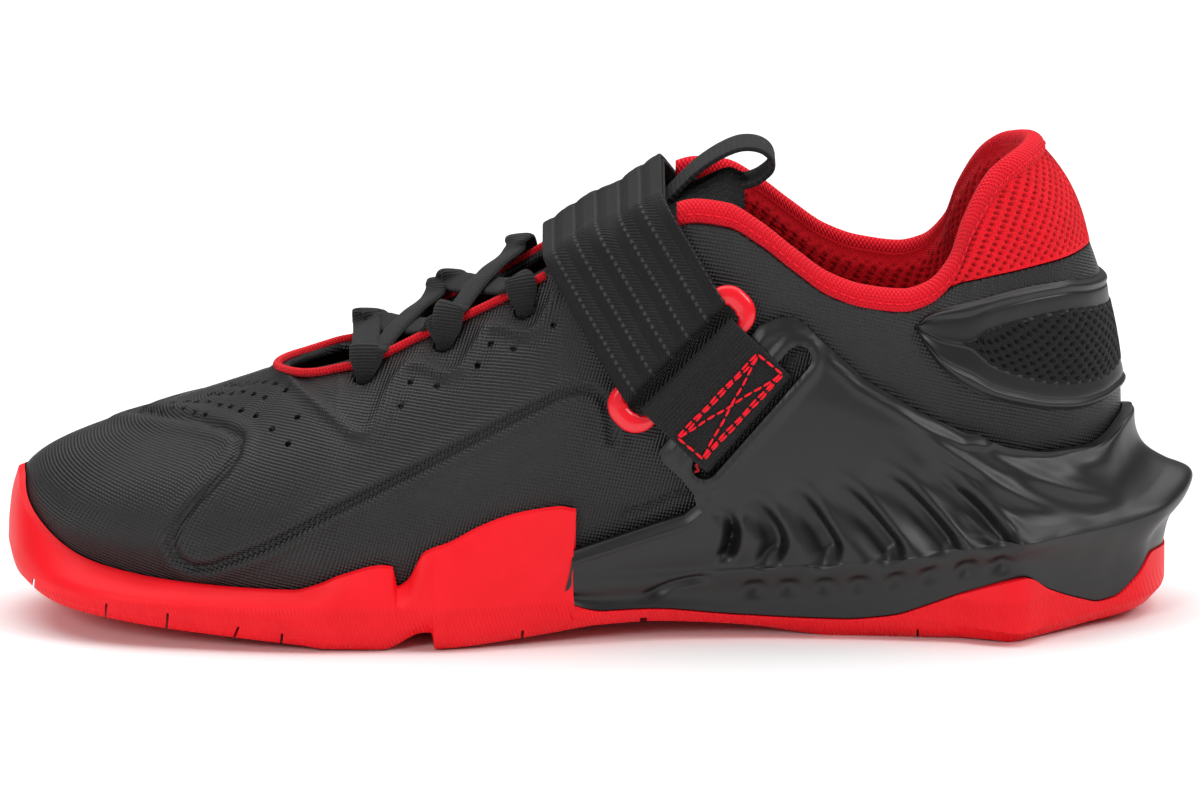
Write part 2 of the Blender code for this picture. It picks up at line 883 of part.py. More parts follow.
def build_tongue():
    m = Mesher()
    height, half, drop, thick = (Curve(TONGUE, k) for k in (1, 2, 3, 4))
    rows = []
    for x in TONGUE_STEPS:
        top = []
        low = []
        for k in range(-3, 4):
            f = k / 3
            z = height(x) - drop(x) * f * f
            pinch = 1 - 0.45 * f * f * f * f
            y = spine(x) + half(x) * f
            top.append((x, y, z))
            low.append((x, y, z - thick(x) * pinch))
        rows.append(top + low[::-1])
    m.loft(rows, False, True)
    m.cap(rows[0])
    m.cap(rows[-1][::-1])
    return make_object("tongue", m, BLACK_CLOTH)


# The pull loop's middle line in side view.
# x, height
PULL = [
    (22.0, 112.8),
    (26.6, 118.0),
    (33, 121.4),
    (39, 122.6),
    (43, 121.2),
    (44.6, 117.6),
    (42.6, 113.6),
    (40.4, 110.6),
]


def ribbon(name, line, y_mid, half_width, half_thick, colour):
    """A flat band across the shoe along a line in side view."""
    m = Mesher()
    rows = []
    for i, p in enumerate(line):
        a = line[max(i - 1, 0)]
        b = line[min(i + 1, len(line) - 1)]
        size = math.hypot(b[0] - a[0], b[1] - a[1])
        nx, nz = -(b[1] - a[1]) / size, (b[0] - a[0]) / size
        section = []
        for side, face in ((-1, 1), (1, 1), (1, -1), (-1, -1)):
            section.append((p[0] + nx * half_thick * face, y_mid + side * half_width,
                            p[1] + nz * half_thick * face))
        rows.append(section)
    m.loft(rows, False, True)
    m.cap(rows[0])
    m.cap(rows[-1][::-1])
    return make_object(name, m, colour)


def tube(name, line, radius, sides, colour, closed=False):
    """A round cord along a list of points."""
    m = Mesher()
    rows = []
    count = len(line)
    for i in range(count):
        a = Vector(line[(i - 1) % count] if closed else line[max(i - 1, 0)])
        b = Vector(line[(i + 1) % count] if closed else line[min(i + 1, count - 1)])
        along = (b - a).normalized()
        across = along.cross(Vector((0, 0, 1))).normalized()
        up = across.cross(along)
        middle = Vector(line[i])
        ring = []
        for k in range(sides):
            angle = 2 * math.pi * k / sides
            ring.append(tuple(middle + across * radius * math.cos(angle) + up * radius * math.sin(angle)))
        rows.append(ring)
    m.loft(rows, closed, True)
    if not closed:
        m.cap(rows[0])
        m.cap(rows[-1][::-1])
    return make_object(name, m, colour)


def build_throat_cord():
    stops = [-13.6, -17, -20.5, -24, -31, -38, -44.5, -50, -55.5, -61, -67, -80, -92, -103, -112, -121, -130, -139, -148, -157]
    line = []
    path = [(s, INNER) for s in stops] + [(s, OUTER) for s in reversed(stops[:-1])]
    for station, side in path:
        r, z = wall(station, side, 0.985, 1.55)
        line.append(place(station, side, r, z))
    return tube("throat_cord", line, 1.1, 6, RED_CLOTH)


# The frame round the heel's mesh window.
# station, bottom, window bottom, window top, top
FRAME = [
    (83.5, 80.6, 81.2, 81.2, 82.0),
    (88, 76.4, 80.0, 80.0, 84.2),
    (94, 71.4, 78.4, 78.4, 85.8),
    (105, 65.6, 77.2, 77.2, 87.4),
    (114, 62.6, 72.0, 80.0, 88.7),
    (124, 60.3, 68.9, 81.4, 90.0),
    (133, 58.6, 66.6, 82.2, 90.8),
    (142, 57.8, 65.6, 82.6, 91.0),
    (151, 58.4, 65.4, 81.8, 90.0),
    (160, 59.2, 66.4, 81.0, 89.3),
    (168, 59.4, 67.4, 80.6, 89.0),
]


def build_counter_frame():
    m = Mesher()

    def strip(station, side, low, high):
        """Across one band: outer face with its raised middle, then the inner face back."""
        rows = []
        for f, out in ((0.0, 1.2), (0.5, 1.8), (1.0, 1.2), (1.0, 0.5), (0.5, 0.5), (0.0, 0.5)):
            t = wall_at(station, side, mix(low, high, f))
            r, z = wall(station, side, t, out)
            rows.append(place(station, side, r, z))
        return rows

    stops = open_loop_of([row[0] for row in FRAME])
    table = {row[0]: row[1:] for row in FRAME}
    lower = [strip(s, side, table[s][0], table[s][1]) for s, side in stops]
    upper = [strip(s, side, table[s][2], table[s][3]) for s, side in stops]
    last = len(stops) - 1
    for i in range(last):
        shut = all(table[stops[k][0]][1] == table[stops[k][0]][2] for k in (i, i + 1))
        for rows, window_edge in ((lower, 2), (upper, 5)):
            a, b = rows[i], rows[i + 1]
            for k in range(6):
                if k == window_edge and shut:
                    continue
                n = (k + 1) % 6
                m.face(a[k], b[k], b[n], a[n])
    for i, flip in ((0, False), (last, True)):
        ring = lower[i][:3] + upper[i][1:] + lower[i][4:]
        m.cap(ring[::-1] if flip else ring)
    return make_object("counter_frame", m, BLACK_RUBBER, 0.5)


def wall_y(x, z, side, out=0.0):
    """The y of the wall's outside at a place in side view between the hinges."""
    t = wall_at(x, side, z)
    return place(x, side, wall(x, side, t, out)[0], z)[1]


def minus(a, b):
    return tuple(p - q for p, q in zip(a, b))


def plus(a, *pairs):
    """a moved along each direction by its length."""
    point = list(a)
    for direction, length in pairs:
        for k in range(3):
            point[k] += direction[k] * length
    return tuple(point)


def unit(a):
    size = math.sqrt(sum(c * c for c in a))
    return tuple(c / size for c in a)


def dot(a, b):
    return sum(p * q for p, q in zip(a, b))


def cross(a, b):
    return (a[1] * b[2] - a[2] * b[1], a[2] * b[0] - a[0] * b[2], a[0] * b[1] - a[1] * b[0])


# The ring lies on the inner side, its long axis rising to the rear at 45 degrees.
RING_X = 21.2
RING_Z = 74.6
RING_HALF = 23.5
BAR_AT = 4.8
BAR_R = 1.5
RING_LIFT = 3.6
LEAN = math.radians(33)


def ring_frame():
    """Centre, long axis, short axis toward the throat, and outward normal."""
    at = (RING_X, wall_y(RING_X, RING_Z, INNER), RING_Z)
    reach = 12
    rise = []
    for a, b in ((1, 1), (-1, 1)):
        x, z = reach * a * 0.7071, reach * b * 0.7071
        ahead = (RING_X + x, wall_y(RING_X + x, RING_Z + z, INNER), RING_Z + z)
        back = (RING_X - x, wall_y(RING_X - x, RING_Z - z, INNER), RING_Z - z)
        rise.append(unit(minus(ahead, back)))
    long_axis, short_axis = rise
    normal = unit(cross(short_axis, long_axis))
    if normal[1] > 0:
        normal = tuple(-c for c in normal)
    short_axis = unit(cross(normal, long_axis))
    if short_axis[2] < 0:
        short_axis = tuple(-c for c in short_axis)
    return at, long_axis, short_axis, normal


def ring_lift(frame):
    """How far the ring's plane stands off so that the whole ring clears the wall."""
    at, long_axis, short_axis, normal = frame
    most = 0.0
    for a in (-24, -16, -8, 0, 8, 16, 24):
        for b in (-6, 0, 6):
            p = plus(at, (long_axis, a), (short_axis, b))
            on = (p[0], wall_y(p[0], p[2], INNER), p[2])
            most = max(most, dot(minus(on, at), normal))
    return most


def build_ring(frame, lift):
    at, long_axis, short_axis, normal = frame
    line = []
    corner = 3.6
    half = RING_HALF - BAR_R
    wide = BAR_AT
    for sa, sb, first in ((1, 1, 0), (-1, 1, 90), (-1, -1, 180), (1, -1, 270)):
        for k in range(4):
            angle = math.radians(first + 30 * k)
            a = sa * (half - corner) + corner * math.cos(angle)
            b = sb * (wide - corner) + corner * math.sin(angle)
            line.append(plus(at, (long_axis, a), (short_axis, b), (normal, lift)))
    return tube("strap_ring", line, BAR_R, 8, RED_RUBBER, True)


def hull(points):
    """The convex outline of points in a plane, anticlockwise."""
    points = sorted(set(points))

    def half(ordered):
        out = []
        for p in ordered:
            while len(out) > 1:
                ax, ay = out[-1][0] - out[-2][0], out[-1][1] - out[-2][1]
                bx, by = p[0] - out[-2][0], p[1] - out[-2][1]
                if ax * by - ay * bx > 0:
                    break
                out.pop()
            out.append(p)
        return out

    return half(points)[:-1] + half(points[::-1])[:-1]


def tilt(x, z):
    """Side-view place to the strap's own axes: along its width, and up its slices."""
    return x * math.cos(LEAN) + z * math.sin(LEAN), z * math.cos(LEAN) - x * math.sin(LEAN)


def untilt(s, v):
    return s * math.cos(LEAN) - v * math.sin(LEAN), s * math.sin(LEAN) + v * math.cos(LEAN)


def slice_line(s):
    """What the strap lies on in one slice, from the inner side over the top to the outer side."""
    points = []
    for side in (INNER, OUTER):
        for k in range(25):
            t = mix(0.3, 1.0, k / 24)
            low, high = -66.0, 74.0
            for _ in range(26):
                station = (low + high) / 2
                r, z = wall(station, side, t)
                p = place(station, side, r, z)
                if tilt(p[0], p[2])[0] < s:
                    low = station
                else:
                    high = station
            station = (low + high) / 2
            out = 3.1 if t > 0.96 and station < 4 else 0.6
            r, z = wall(station, side, t, out)
            p = place(station, side, r, z)
            points.append((round(p[1], 3), round(tilt(p[0], p[2])[1], 3)))
    ring = hull(points)
    ring = [p for p in ring if p[1] > min(q[1] for q in points) + 2]
    ring.sort(key=lambda p: math.atan2(p[0], p[1] - 40))
    return ring


def walk(line, step):
    """Evenly spaced points along a line in a plane, with their outward normals."""
    lengths = [0.0]
    for a, b in zip(line, line[1:]):
        lengths.append(lengths[-1] + math.hypot(b[0] - a[0], b[1] - a[1]))
    count = max(2, round(lengths[-1] / step))
    out = []
    for k in range(count + 1):
        d = lengths[-1] * k / count
        i = 0
        while i < len(line) - 2 and lengths[i + 1] < d:
            i += 1
        f = (d - lengths[i]) / (lengths[i + 1] - lengths[i])
        out.append((mix(line[i][0], line[i + 1][0], f), mix(line[i][1], line[i + 1][1], f)))
    return out


def normals(line):
    out = []
    for i in range(len(line)):
        a, b = line[max(i - 1, 0)], line[min(i + 1, len(line) - 1)]
        size = math.hypot(b[0] - a[0], b[1] - a[1])
        out.append((-(b[1] - a[1]) / size, (b[0] - a[0]) / size))
    return out


STRAP_SLICES = [41.0, 49.5, 58.5, 67.5, 76.0]
STRAP_THICK = 1.2
STRAP_COUNT = 18


def strap_path(s, frame, lift):
    """Middle line of the strap in one slice: under layer, round the ring's bar, upper layer."""
    at, long_axis, short_axis, normal = frame
    bar = plus(at, (short_axis, BAR_AT), (normal, lift))
    rate = tilt(long_axis[0], long_axis[2])[0]
    a = (s - tilt(bar[0], bar[2])[0]) / rate
    bar = plus(bar, (long_axis, a))
    centre = (bar[1], tilt(bar[0], bar[2])[1])
    base = slice_line(s)
    base = [p for p in base if p[0] > 0 or p[1] > centre[1] - 1]
    near = next(k for k, p in enumerate(base))
    first = base[near]
    base = [(mix(first[0], first[0], 1), centre[1])] + [p for p in base if p[1] > centre[1] + 2 or p[0] > 0]
    far_limit = 56.0
    base = [p for p in base if p[0] < 0 or p[1] > far_limit]
    line = walk(base, 1.0)
    pick = [line[round(k * (len(line) - 1) / STRAP_COUNT)] for k in range(STRAP_COUNT + 1)]
    across = normals(pick)
    round_bar = BAR_R + 0.35 + STRAP_THICK / 2
    under = []
    over = []
    for k, (p, n) in enumerate(zip(pick, across)):
        rise = max(0.0, 1 - k / 5)
        low = 0.35 + STRAP_THICK / 2
        high = low + STRAP_THICK + 0.35
        under.append((p[0] + n[0] * low, p[1] + n[1] * low))
        over.append((p[0] + n[0] * high, p[1] + n[1] * high, rise))
    under = [p for p in under if p[0] > 0 or p[1] > centre[1] + 1.0]
    loop = []
    for angle in (0, 45, 90, 135, 180):
        c, q = math.cos(math.radians(angle)), math.sin(math.radians(angle))
        loop.append((centre[0] + round_bar * c, centre[1] - round_bar * q))
    tops = []
    for x, v, rise in over:
        if x < 0 and v < centre[1] + 1.0:
            continue
        limit = centre[0] - round_bar
        lean = max(0.0, 1 - (v - centre[1]) / 15) if x < 0 else 0.0
        lean = lean * lean * (3 - 2 * lean)
        x = min(x, mix(x, limit, lean)) if x < 0 else x
        tops.append((x, v))
    return under[::-1], loop, tops


def build_strap(frame, lift):
    paths = []
    for s in STRAP_SLICES:
        under, loop, tops = strap_path(s, frame, lift)
        line = []
        for part, count in ((under, 14), (loop, 5), (tops, 15)):
            dense = walk(part, 0.5)
            line += [dense[round(k * (len(dense) - 1) / (count - 1))] for k in range(count)]
        paths.append(line)
    m = Mesher()
    rows = []
    half = STRAP_THICK / 2
    sides = [normals(path) for path in paths]
    for i in range(len(paths[0])):
        one = []
        two = []
        for s, path, side in zip(STRAP_SLICES, paths, sides):
            p, n = path[i], side[i]
            for face, rows_of in ((1, one), (-1, two)):
                y, v = p[0] + n[0] * half * face, p[1] + n[1] * half * face
                x, z = untilt(s, v)
                rows_of.append((x, y, z))
        rows.append(one + two[::-1])
    m.loft(rows, False, True)
    m.cap(rows[0])
    m.cap(rows[-1][::-1])
    return make_object("midfoot_strap", m, BLACK_CLOTH)


WEB_HALF = 16.5
WEB_THICK = 1.4


def build_webbing(frame, lift):
    """Webbing from the ring's lower bar over the fin's front and into its slot."""
    at, long_axis, short_axis, normal = frame

    def surface(a, b, out):
        """Height of the wall's offset surface over the ring's plane."""
        n = 0.0
        for _ in range(12):
            p = plus(at, (long_axis, a), (short_axis, b), (normal, n))
            y = wall_y(p[0], p[2], INNER, out)
            n += (y - p[1]) * normal[1]
        return n

    m = Mesher()
    rows = []
    turn = BAR_R + 0.35 + WEB_THICK / 2
    half = WEB_THICK / 2
    lines = []
    steps = [-WEB_HALF, -WEB_HALF / 2, 0.0, WEB_HALF / 2, WEB_HALF]
    for a in steps:
        line = [(-6.9, lift - turn)]
        for angle in (-90, -45, 0, 45, 90):
            c, q = math.cos(math.radians(angle)), math.sin(math.radians(angle))
            line.append((-BAR_AT + turn * c, lift + turn * q))
        slot = -23.6 + (a + 15.3) * 0.08
        for b, drop in ((-9.5, -1.2), (-13.0, -0.3), (-16.5, 0.0), (slot + 3.2, 0.0), (slot + 1.2, 0.7),
                        (slot + 0.2, 2.0), (slot - 0.1, 3.2)):
            line.append((b, surface(a, b, GAP + SKIN) + 0.6 + half - drop))
        lines.append((a, line, normals(line)))
    for i in range(len(lines[0][1])):
        one = []
        two = []
        for a, line, across in lines:
            p, n = line[i], across[i]
            for face, into in ((1, one), (-1, two)):
                b, h = p[0] + n[0] * half * face, p[1] + n[1] * half * face
                into.append(plus(at, (long_axis, a), (short_axis, b), (normal, h)))
        rows.append(one + two[::-1])
    m.loft(rows, False, True)
    m.cap(rows[0])
    m.cap(rows[-1][::-1])
    return make_object("ring_webbing", m, BLACK_CLOTH)


# Where the lace goes down through the upper, as stations.
EYELETS = [-60.0, -39.5, -19.0]
EYELET_R = 19.5
LACE_HALF = 3.2
LACE_THICK = 1.3


def eyelet(station, side, out):
    """A point over an eyelet, and how the wall runs there."""
    t = 1.0
    while wall(station, side, t)[0] < EYELET_R + (station + 60) * 0.04:
        t -= 0.004
    r, z = wall(station, side, t, out)
    return place(station, side, r, z)


def lace_line(first, second, arch):
    """From an inner eyelet over both cords to an outer eyelet."""
    half = LACE_THICK / 2
    a = eyelet(first, INNER, 1.5 + half)
    b = eyelet(second, OUTER, 1.5 + half)
    points = []
    for station, side in ((first, INNER), (second, OUTER)):
        shift = (second - first) * 0.1 * (1 if side == INNER else -1)
        for share, t, out in ((0.5, 0.95, 4.0), (1.0, 0.985, 4.7)):
            r, z = wall(station + shift * share, side, t, out + half)
            points.append(place(station + shift * share, side, r, z))
    low, high = points[1], points[3]
    line = [a, points[0], low]
    for k in range(1, 6):
        f = k / 6
        p = [mix(low[i], high[i], f) for i in range(3)]
        p[2] += arch * math.sin(math.pi * f)
        line.append(tuple(p))
    line += [high, points[2], b]
    return line


def lace(name, line):
    m = Mesher()
    rows = []
    half = LACE_THICK / 2
    for i, p in enumerate(line):
        a, b = line[max(i - 1, 0)], line[min(i + 1, len(line) - 1)]
        along = unit(minus(b, a))
        across = unit(cross(along, (-0.47, 0, 1)))
        up = unit(cross(across, along))
        section = []
        for w, h in ((-1, 1), (1, 1), (1, -1), (-1, -1)):
            section.append(plus(p, (across, LACE_HALF * w), (up, half * h)))
        rows.append(section)
    m.loft(rows, False, True)
    m.cap(rows[0])
    m.cap(rows[-1][::-1])
    return make_object(name, m, BLACK_CLOTH)


def build_laces():
    first, second, third = EYELETS
    laces = lace("laces", lace_line(first, first, 1.6))
    pairs = [(first, second), (second, first), (second, third), (third, second)]
    for k, (a, b) in enumerate(pairs):
        join_on(laces, lace("lace_part_" + str(k), lace_line(a, b, 2.6 + 0.3 * k)))
    return laces


def centre_in_plan():
    """Moves every mesh so that the shoe's box is centred on the origin in plan."""
    shown = [o for o in bpy.data.objects if not o.hide_render]
    for axis in (0, 1):
        values = [v.co[axis] for o in shown for v in o.data.vertices]
        middle = (min(values) + max(values)) / 2
        for made in bpy.data.objects:
            for v in made.data.vertices:
                v.co[axis] -= middle


def main():
    frame = ring_frame()
    lift = ring_lift(frame) + RING_LIFT
    build_upper()
    build_outsole()
    build_insole()
    build_midsole()
    build_binding()
    build_heel_pad()
    build_lining()
    build_tongue()
    ribbon("tongue_pull_loop", PULL, 0.0, 8.0, 0.8, BLACK_CLOTH)
    build_throat_cord()
    build_counter_frame()
    build_ring(frame, lift)
    build_strap(frame, lift)
    build_webbing(frame, lift)
    build_laces()
    centre_in_plan()


main()
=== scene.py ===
# Looks of a weightlifting shoe for the right foot: toe at -X, heel at +X, inner side at -Y.
# Lengths are in millimetres, and make_mesh turns them into metres.
#
# As in the CAD, the shoe is described on stations from the toe's tip to the back of the heel.
# Between the hinges a station is the x of a plane across the shoe. Past a hinge it is the
# hinge's x plus or minus an angle in degrees, so the planes fan round toe and heel.

import math

import bmesh
import bpy
import numpy as np
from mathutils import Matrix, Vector


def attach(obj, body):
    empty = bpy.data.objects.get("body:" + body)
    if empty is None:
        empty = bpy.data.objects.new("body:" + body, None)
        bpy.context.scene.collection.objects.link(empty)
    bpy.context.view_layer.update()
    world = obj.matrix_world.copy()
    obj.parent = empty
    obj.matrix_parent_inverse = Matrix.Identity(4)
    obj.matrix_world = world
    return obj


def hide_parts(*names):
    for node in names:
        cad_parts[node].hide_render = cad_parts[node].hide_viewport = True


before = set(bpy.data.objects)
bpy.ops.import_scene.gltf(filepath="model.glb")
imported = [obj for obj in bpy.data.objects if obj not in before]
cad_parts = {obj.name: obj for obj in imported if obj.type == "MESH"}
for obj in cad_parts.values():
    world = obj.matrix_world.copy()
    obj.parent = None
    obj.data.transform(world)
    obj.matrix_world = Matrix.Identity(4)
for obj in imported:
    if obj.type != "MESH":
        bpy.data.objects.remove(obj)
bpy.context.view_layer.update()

# The hinges round which the stations fan out at the toe and the heel.
TOE_X = -67.0
TOE_Y = -2.0
HEEL_X = 78.0
TIP = TOE_X - 90.0
BACK = HEEL_X + 90.0
INNER = -1.0
OUTER = 1.0
# Air between neighbours, the cloth wall, and the moulded skin over it.
GAP = 0.35
WALL = 2.2
SKIN = 2.6
# The station where the front rubber meets the black wedge.
WEDGE_START = -6.5
# How far the CAD moved every piece in plan to centre the shoe.
PLAN_SHIFT = np.array([-0.1, -0.3784, 0.0])


class Curve:
    """A smooth curve without overshoot through one column of a table."""

    def __init__(self, rows, column):
        self.keys = np.array([row[0] for row in rows], float)
        self.values = np.array([row[column] for row in rows], float)
        steps = np.diff(self.values) / np.diff(self.keys)
        self.slopes = np.zeros(len(rows))
        before, after = steps[:-1], steps[1:]
        same = before * after > 0
        inner = np.zeros(len(before))
        inner[same] = 2 * before[same] * after[same] / (before[same] + after[same])
        self.slopes[1:-1] = inner

    def __call__(self, key):
        key = np.clip(np.asarray(key, float), self.keys[0], self.keys[-1])
        i = np.clip(np.searchsorted(self.keys, key, side="left") - 1, 0, len(self.keys) - 2)
        run = self.keys[i + 1] - self.keys[i]
        f = (key - self.keys[i]) / run
        a, b = self.values[i], self.values[i + 1]
        ta, tb = self.slopes[i] * run, self.slopes[i + 1] * run
        g = 1 - f
        return a * (1 + 2 * f) * g * g + ta * f * g * g + b * f * f * (3 - 2 * f) - tb * f * f * g


# Plan shapes, as reach from the middle line or hinge.
# station, last inner, last outer, sole inner, sole outer
PLAN = [
    (-157, 84.0, 84.0, 86.0, 86.0),
    (-148, 82.0, 78.3, 85.0, 81.5),
    (-139, 77.0, 71.5, 81.9, 76.3),
    (-130, 69.5, 65.8, 76.6, 70.9),
    (-119, 60.5, 58.6, 67.4, 64.1),
    (-103, 51.4, 51.3, 56.2, 55.8),
    (-82, 45.8, 47.2, 49.7, 51.2),
    (-67, 44.8, 47.8, 48.1, 50.9),
    (-40, 44.4, 49.1, 47.6, 52.5),
    (-20, 42.2, 47.9, 43.9, 51.3),
    (0, 38.9, 44.6, 39.6, 48.1),
    (20, 36.2, 40.8, 36.2, 44.3),
    (40, 34.5, 37.5, 35.0, 41.5),
    (60, 33.8, 35.3, 36.0, 40.3),
    (78, 33.5, 34.1, 37.8, 40.0),
    (98, 35.0, 35.0, 41.4, 42.0),
    (116, 38.8, 38.8, 50.6, 50.6),
    (124, 41.5, 41.5, 51.3, 51.3),
    (134, 45.6, 45.6, 53.8, 53.8),
    (144, 50.6, 50.6, 58.4, 58.4),
    (154, 54.0, 54.0, 65.5, 65.5),
    (168, 56.5, 56.5, 69.0, 69.0),
]
LAST_INNER, LAST_OUTER, SOLE_INNER, SOLE_OUTER = (Curve(PLAN, k) for k in (1, 2, 3, 4))

# How the wall rises from the feather edge to the rim.
# station, inset of feather, height of feather, bulge, its height, share of reach kept above, drop below rim
FORM = [
    (-157, 5.0, 19.0, 8.0, 44.0, 0.90, 20.5),
    (-134, 4.5, 16.0, 7.0, 39.0, 0.88, 20.0),
    (-112, 4.0, 13.5, 5.5, 34.0, 0.85, 17.5),
    (-90, 3.5, 12.5, 5.0, 33.0, 0.80, 11.5),
    (-67, 3.5, 12.5, 5.0, 34.0, 0.75, 6.0),
    (-40, 3.0, 14.0, 5.5, 37.0, 0.68, 5.5),
    (-17, 3.0, 17.0, 4.5, 42.0, 0.74, 9.0),
    (0, 3.0, 18.5, 3.5, 46.0, 0.85, 13.0),
    (15, 3.0, 20.0, 3.0, 50.0, 0.93, 19.0),
    (30, 3.0, 22.0, 3.5, 53.0, 0.98, 22.0),
    (50, 3.0, 24.0, 3.5, 50.0, 1.04, 22.0),
    (78, 3.5, 26.0, 4.5, 48.0, 1.07, 21.0),
    (104, 3.5, 26.5, 4.5, 50.0, 1.05, 22.0),
    (123, 3.5, 27.0, 5.0, 54.0, 1.00, 26.0),
    (168, 4.5, 27.0, 8.5, 56.0, 0.915, 26.0),
]
INSET, FEATHER, BULGE, BULGE_Z, KEEP, DROP = (Curve(FORM, k) for k in range(1, 7))

# The rim of throat and collar.
# station, reach, height, height of the black upper's edge
RIM = [
    (-157, 13.0, 65.0, 65.0),
    (-112, 13.0, 65.3, 65.3),
    (-67, 14.0, 67.0, 67.0),
    (-42.5, 14.5, 77.0, 77.0),
    (-24, 15.0, 86.0, 86.0),
    (-17, 15.5, 90.0, 90.0),
    (0, 19.0, 101.0, 100.0),
    (15, 23.5, 111.0, 104.8),
    (25, 25.0, 114.3, 108.0),
    (33, 26.0, 113.4, 107.0),
    (41, 27.0, 109.0, 102.6),
    (50, 28.0, 102.0, 95.8),
    (59, 28.5, 95.6, 89.6),
    (68, 28.5, 92.4, 86.5),
    (78, 28.0, 91.2, 85.3),
    (90.5, 27.7, 92.8, 87.2),
    (104.6, 28.0, 99.5, 92.0),
    (112.8, 28.0, 108.6, 93.2),
    (128.7, 28.4, 119.0, 94.7),
    (143, 30.9, 123.6, 96.0),
    (168, 33.5, 126.0, 97.0),
]
RIM_R, RIM_Z, BLACK_Z = (Curve(RIM, k) for k in (1, 2, 3))

# The sole's underside along the shoe.
# x, height in the middle, height at the edge
GROUND = [
    (-153, 15.6, 15.8),
    (-147, 10.2, 10.5),
    (-139, 8.0, 8.3),
    (-129, 6.6, 7.2),
    (-103, 3.4, 4.4),
    (-77, 0.6, 1.9),
    (-70, 0.0, 0.8),
    (-55.5, 0.0, 0.5),
    (-44.5, 4.4, 4.9),
    (-42.6, 4.4, 4.9),
    (-42.2, 0.0, 0.6),
    (-35, 0.0, 0.9),
    (-20, 2.0, 2.3),
    (-10, 3.2, 3.5),
    (0, 4.0, 4.6),
    (11, 4.2, 4.9),
    (26, 3.6, 4.3),
    (42, 2.2, 3.3),
    (52, 0.8, 2.6),
    (60, 0.0, 2.3),
    (80, 0.0, 1.9),
    (98, 0.0, 1.1),
    (106, 0.0, 0.3),
    (120, 0.0, 1.2),
    (134, 0.0, 2.7),
    (142, 2.4, 3.3),
    (147, 7.0, 8.0),
]
GROUND_MID, GROUND_EDGE = (Curve(GROUND, k) for k in (1, 2))

# The top edge of the red rubber, in front of the wedge and along it.
# station, height
RED = [
    (-157, 38.0),
    (-153, 37.3),
    (-148, 32.9),
    (-144, 28.8),
    (-139, 24.0),
    (-134, 20.6),
    (-130, 19.2),
    (-119, 17.2),
    (-103, 16.2),
    (-82, 15.8),
    (-73, 17.6),
    (-65, 20.3),
    (-55.5, 22.6),
    (-52.5, 22.2),
    (-51.5, 17.0),
    (-49, 18.4),
    (-44.5, 26.0),
    (-38, 28.6),
    (-31, 32.2),
    (-24, 34.8),
    (-17, 36.3),
    (-10.5, 37.0),
    (-6.8, 36.2),
]
RED_REAR = [
    (-6.5, 11.2),
    (-3.0, 9.5),
    (1.0, 8.8),
    (11, 8.8),
    (36, 6.6),
    (52, 5.8),
    (63, 5.6),
    (73, 6.5),
    (84, 9.0),
    (100, 13.3),
    (116, 17.6),
    (125, 13.4),
    (136, 9.2),
    (142, 7.5),
    (146, 7.9),
    (151, 12.0),
    (157, 17.6),
    (168, 17.0),
]
BED = [(-6.5, 7.2), (26, 6.4), (42, 5.0), (60, 4.9), (168, 4.9)]
RED_FRONT = Curve(RED, 1)
RED_BACK = Curve(RED_REAR, 1)
FLOOR = Curve(BED, 1)


def mix(a, b, f):
    return a + (b - a) * f


def ease(f):
    """A soft step from 0 to 1."""
    f = np.clip(f, 0.0, 1.0)
    return f * f * (3 - 2 * f)


def bell(distance, half):
    """A soft ridge, 1 in its middle and 0 from half away."""
    return ease(1 - np.abs(distance) / half)


def spine(x):
    """The y of the shoe's middle line."""
    return TOE_Y * (HEEL_X - x) / (HEEL_X - TOE_X)


def column(values):
    values = np.asarray(values, float)
    return values[:, None] if values.ndim == 1 else values


def place(station, side, reach, height):
    """Points in space for reaches and heights, one row of them per station."""
    station, side = column(station), column(side)
    front = np.radians(np.clip(TOE_X - station, 0, None))
    back = np.radians(np.clip(station - HEEL_X, 0, None))
    middle = np.clip(station, TOE_X, HEEL_X)
    x = middle + reach * (np.sin(back) - np.sin(front))
    y = spine(middle) + side * reach * np.cos(front + back)
    return np.stack(np.broadcast_arrays(x, y, height), axis=-1)


def by_side(side, inner, outer, station):
    return np.where(side < 0, inner(station), outer(station))


def wall(station, side, t, out=0.0):
    """Reach and height on the outside of the shoe's wall, moved outward by out."""
    station, side = column(station), column(side)
    last = by_side(side, LAST_INNER, LAST_OUTER, station)
    t = np.asarray(t, float)
    reaches = (last - INSET(station), last + BULGE(station), last * KEEP(station), RIM_R(station))
    heights = (FEATHER(station), BULGE_Z(station), RIM_Z(station) - DROP(station), RIM_Z(station))
    s = 1 - t
    weights = (s * s * s, 3 * s * s * t, 3 * s * t * t, t * t * t)
    r = sum(w * q for w, q in zip(weights, reaches))
    z = sum(w * q for w, q in zip(weights, heights))
    steps = (s * s, 2 * s * t, t * t)
    dr = sum(w * (reaches[i + 1] - reaches[i]) for i, w in enumerate(steps))
    dz = sum(w * (heights[i + 1] - heights[i]) for i, w in enumerate(steps))
    size = np.hypot(dr, dz)
    return r + out * dz / size, z - out * dr / size


def wall_at(station, side, height):
    """Where the wall is at a height, as t."""
    height = column(height)
    low = np.zeros(np.broadcast(column(station), height).shape)
    high = low + 1.0
    for _ in range(30):
        t = (low + high) / 2
        below = wall(station, side, t)[1] < height
        low = np.where(below, t, low)
        high = np.where(below, high, t)
    return (low + high) / 2


def wall_reach(station, side, height):
    return wall(station, side, wall_at(station, side, height))[0]


def upper_edge(station, side):
    """t where the black upper ends, below the red collar."""
    bare = column(BLACK_Z(station)) >= column(RIM_Z(station)) - 0.01
    return np.where(bare, 1.0, wall_at(station, side, BLACK_Z(station)))


def platform(station, fraction):
    """Height of the sole's inner floor, from the middle line (0) to the feather edge (1)."""
    middle = np.clip(station, TOE_X, HEEL_X)
    return mix(FEATHER(middle), FEATHER(station), fraction) - GAP


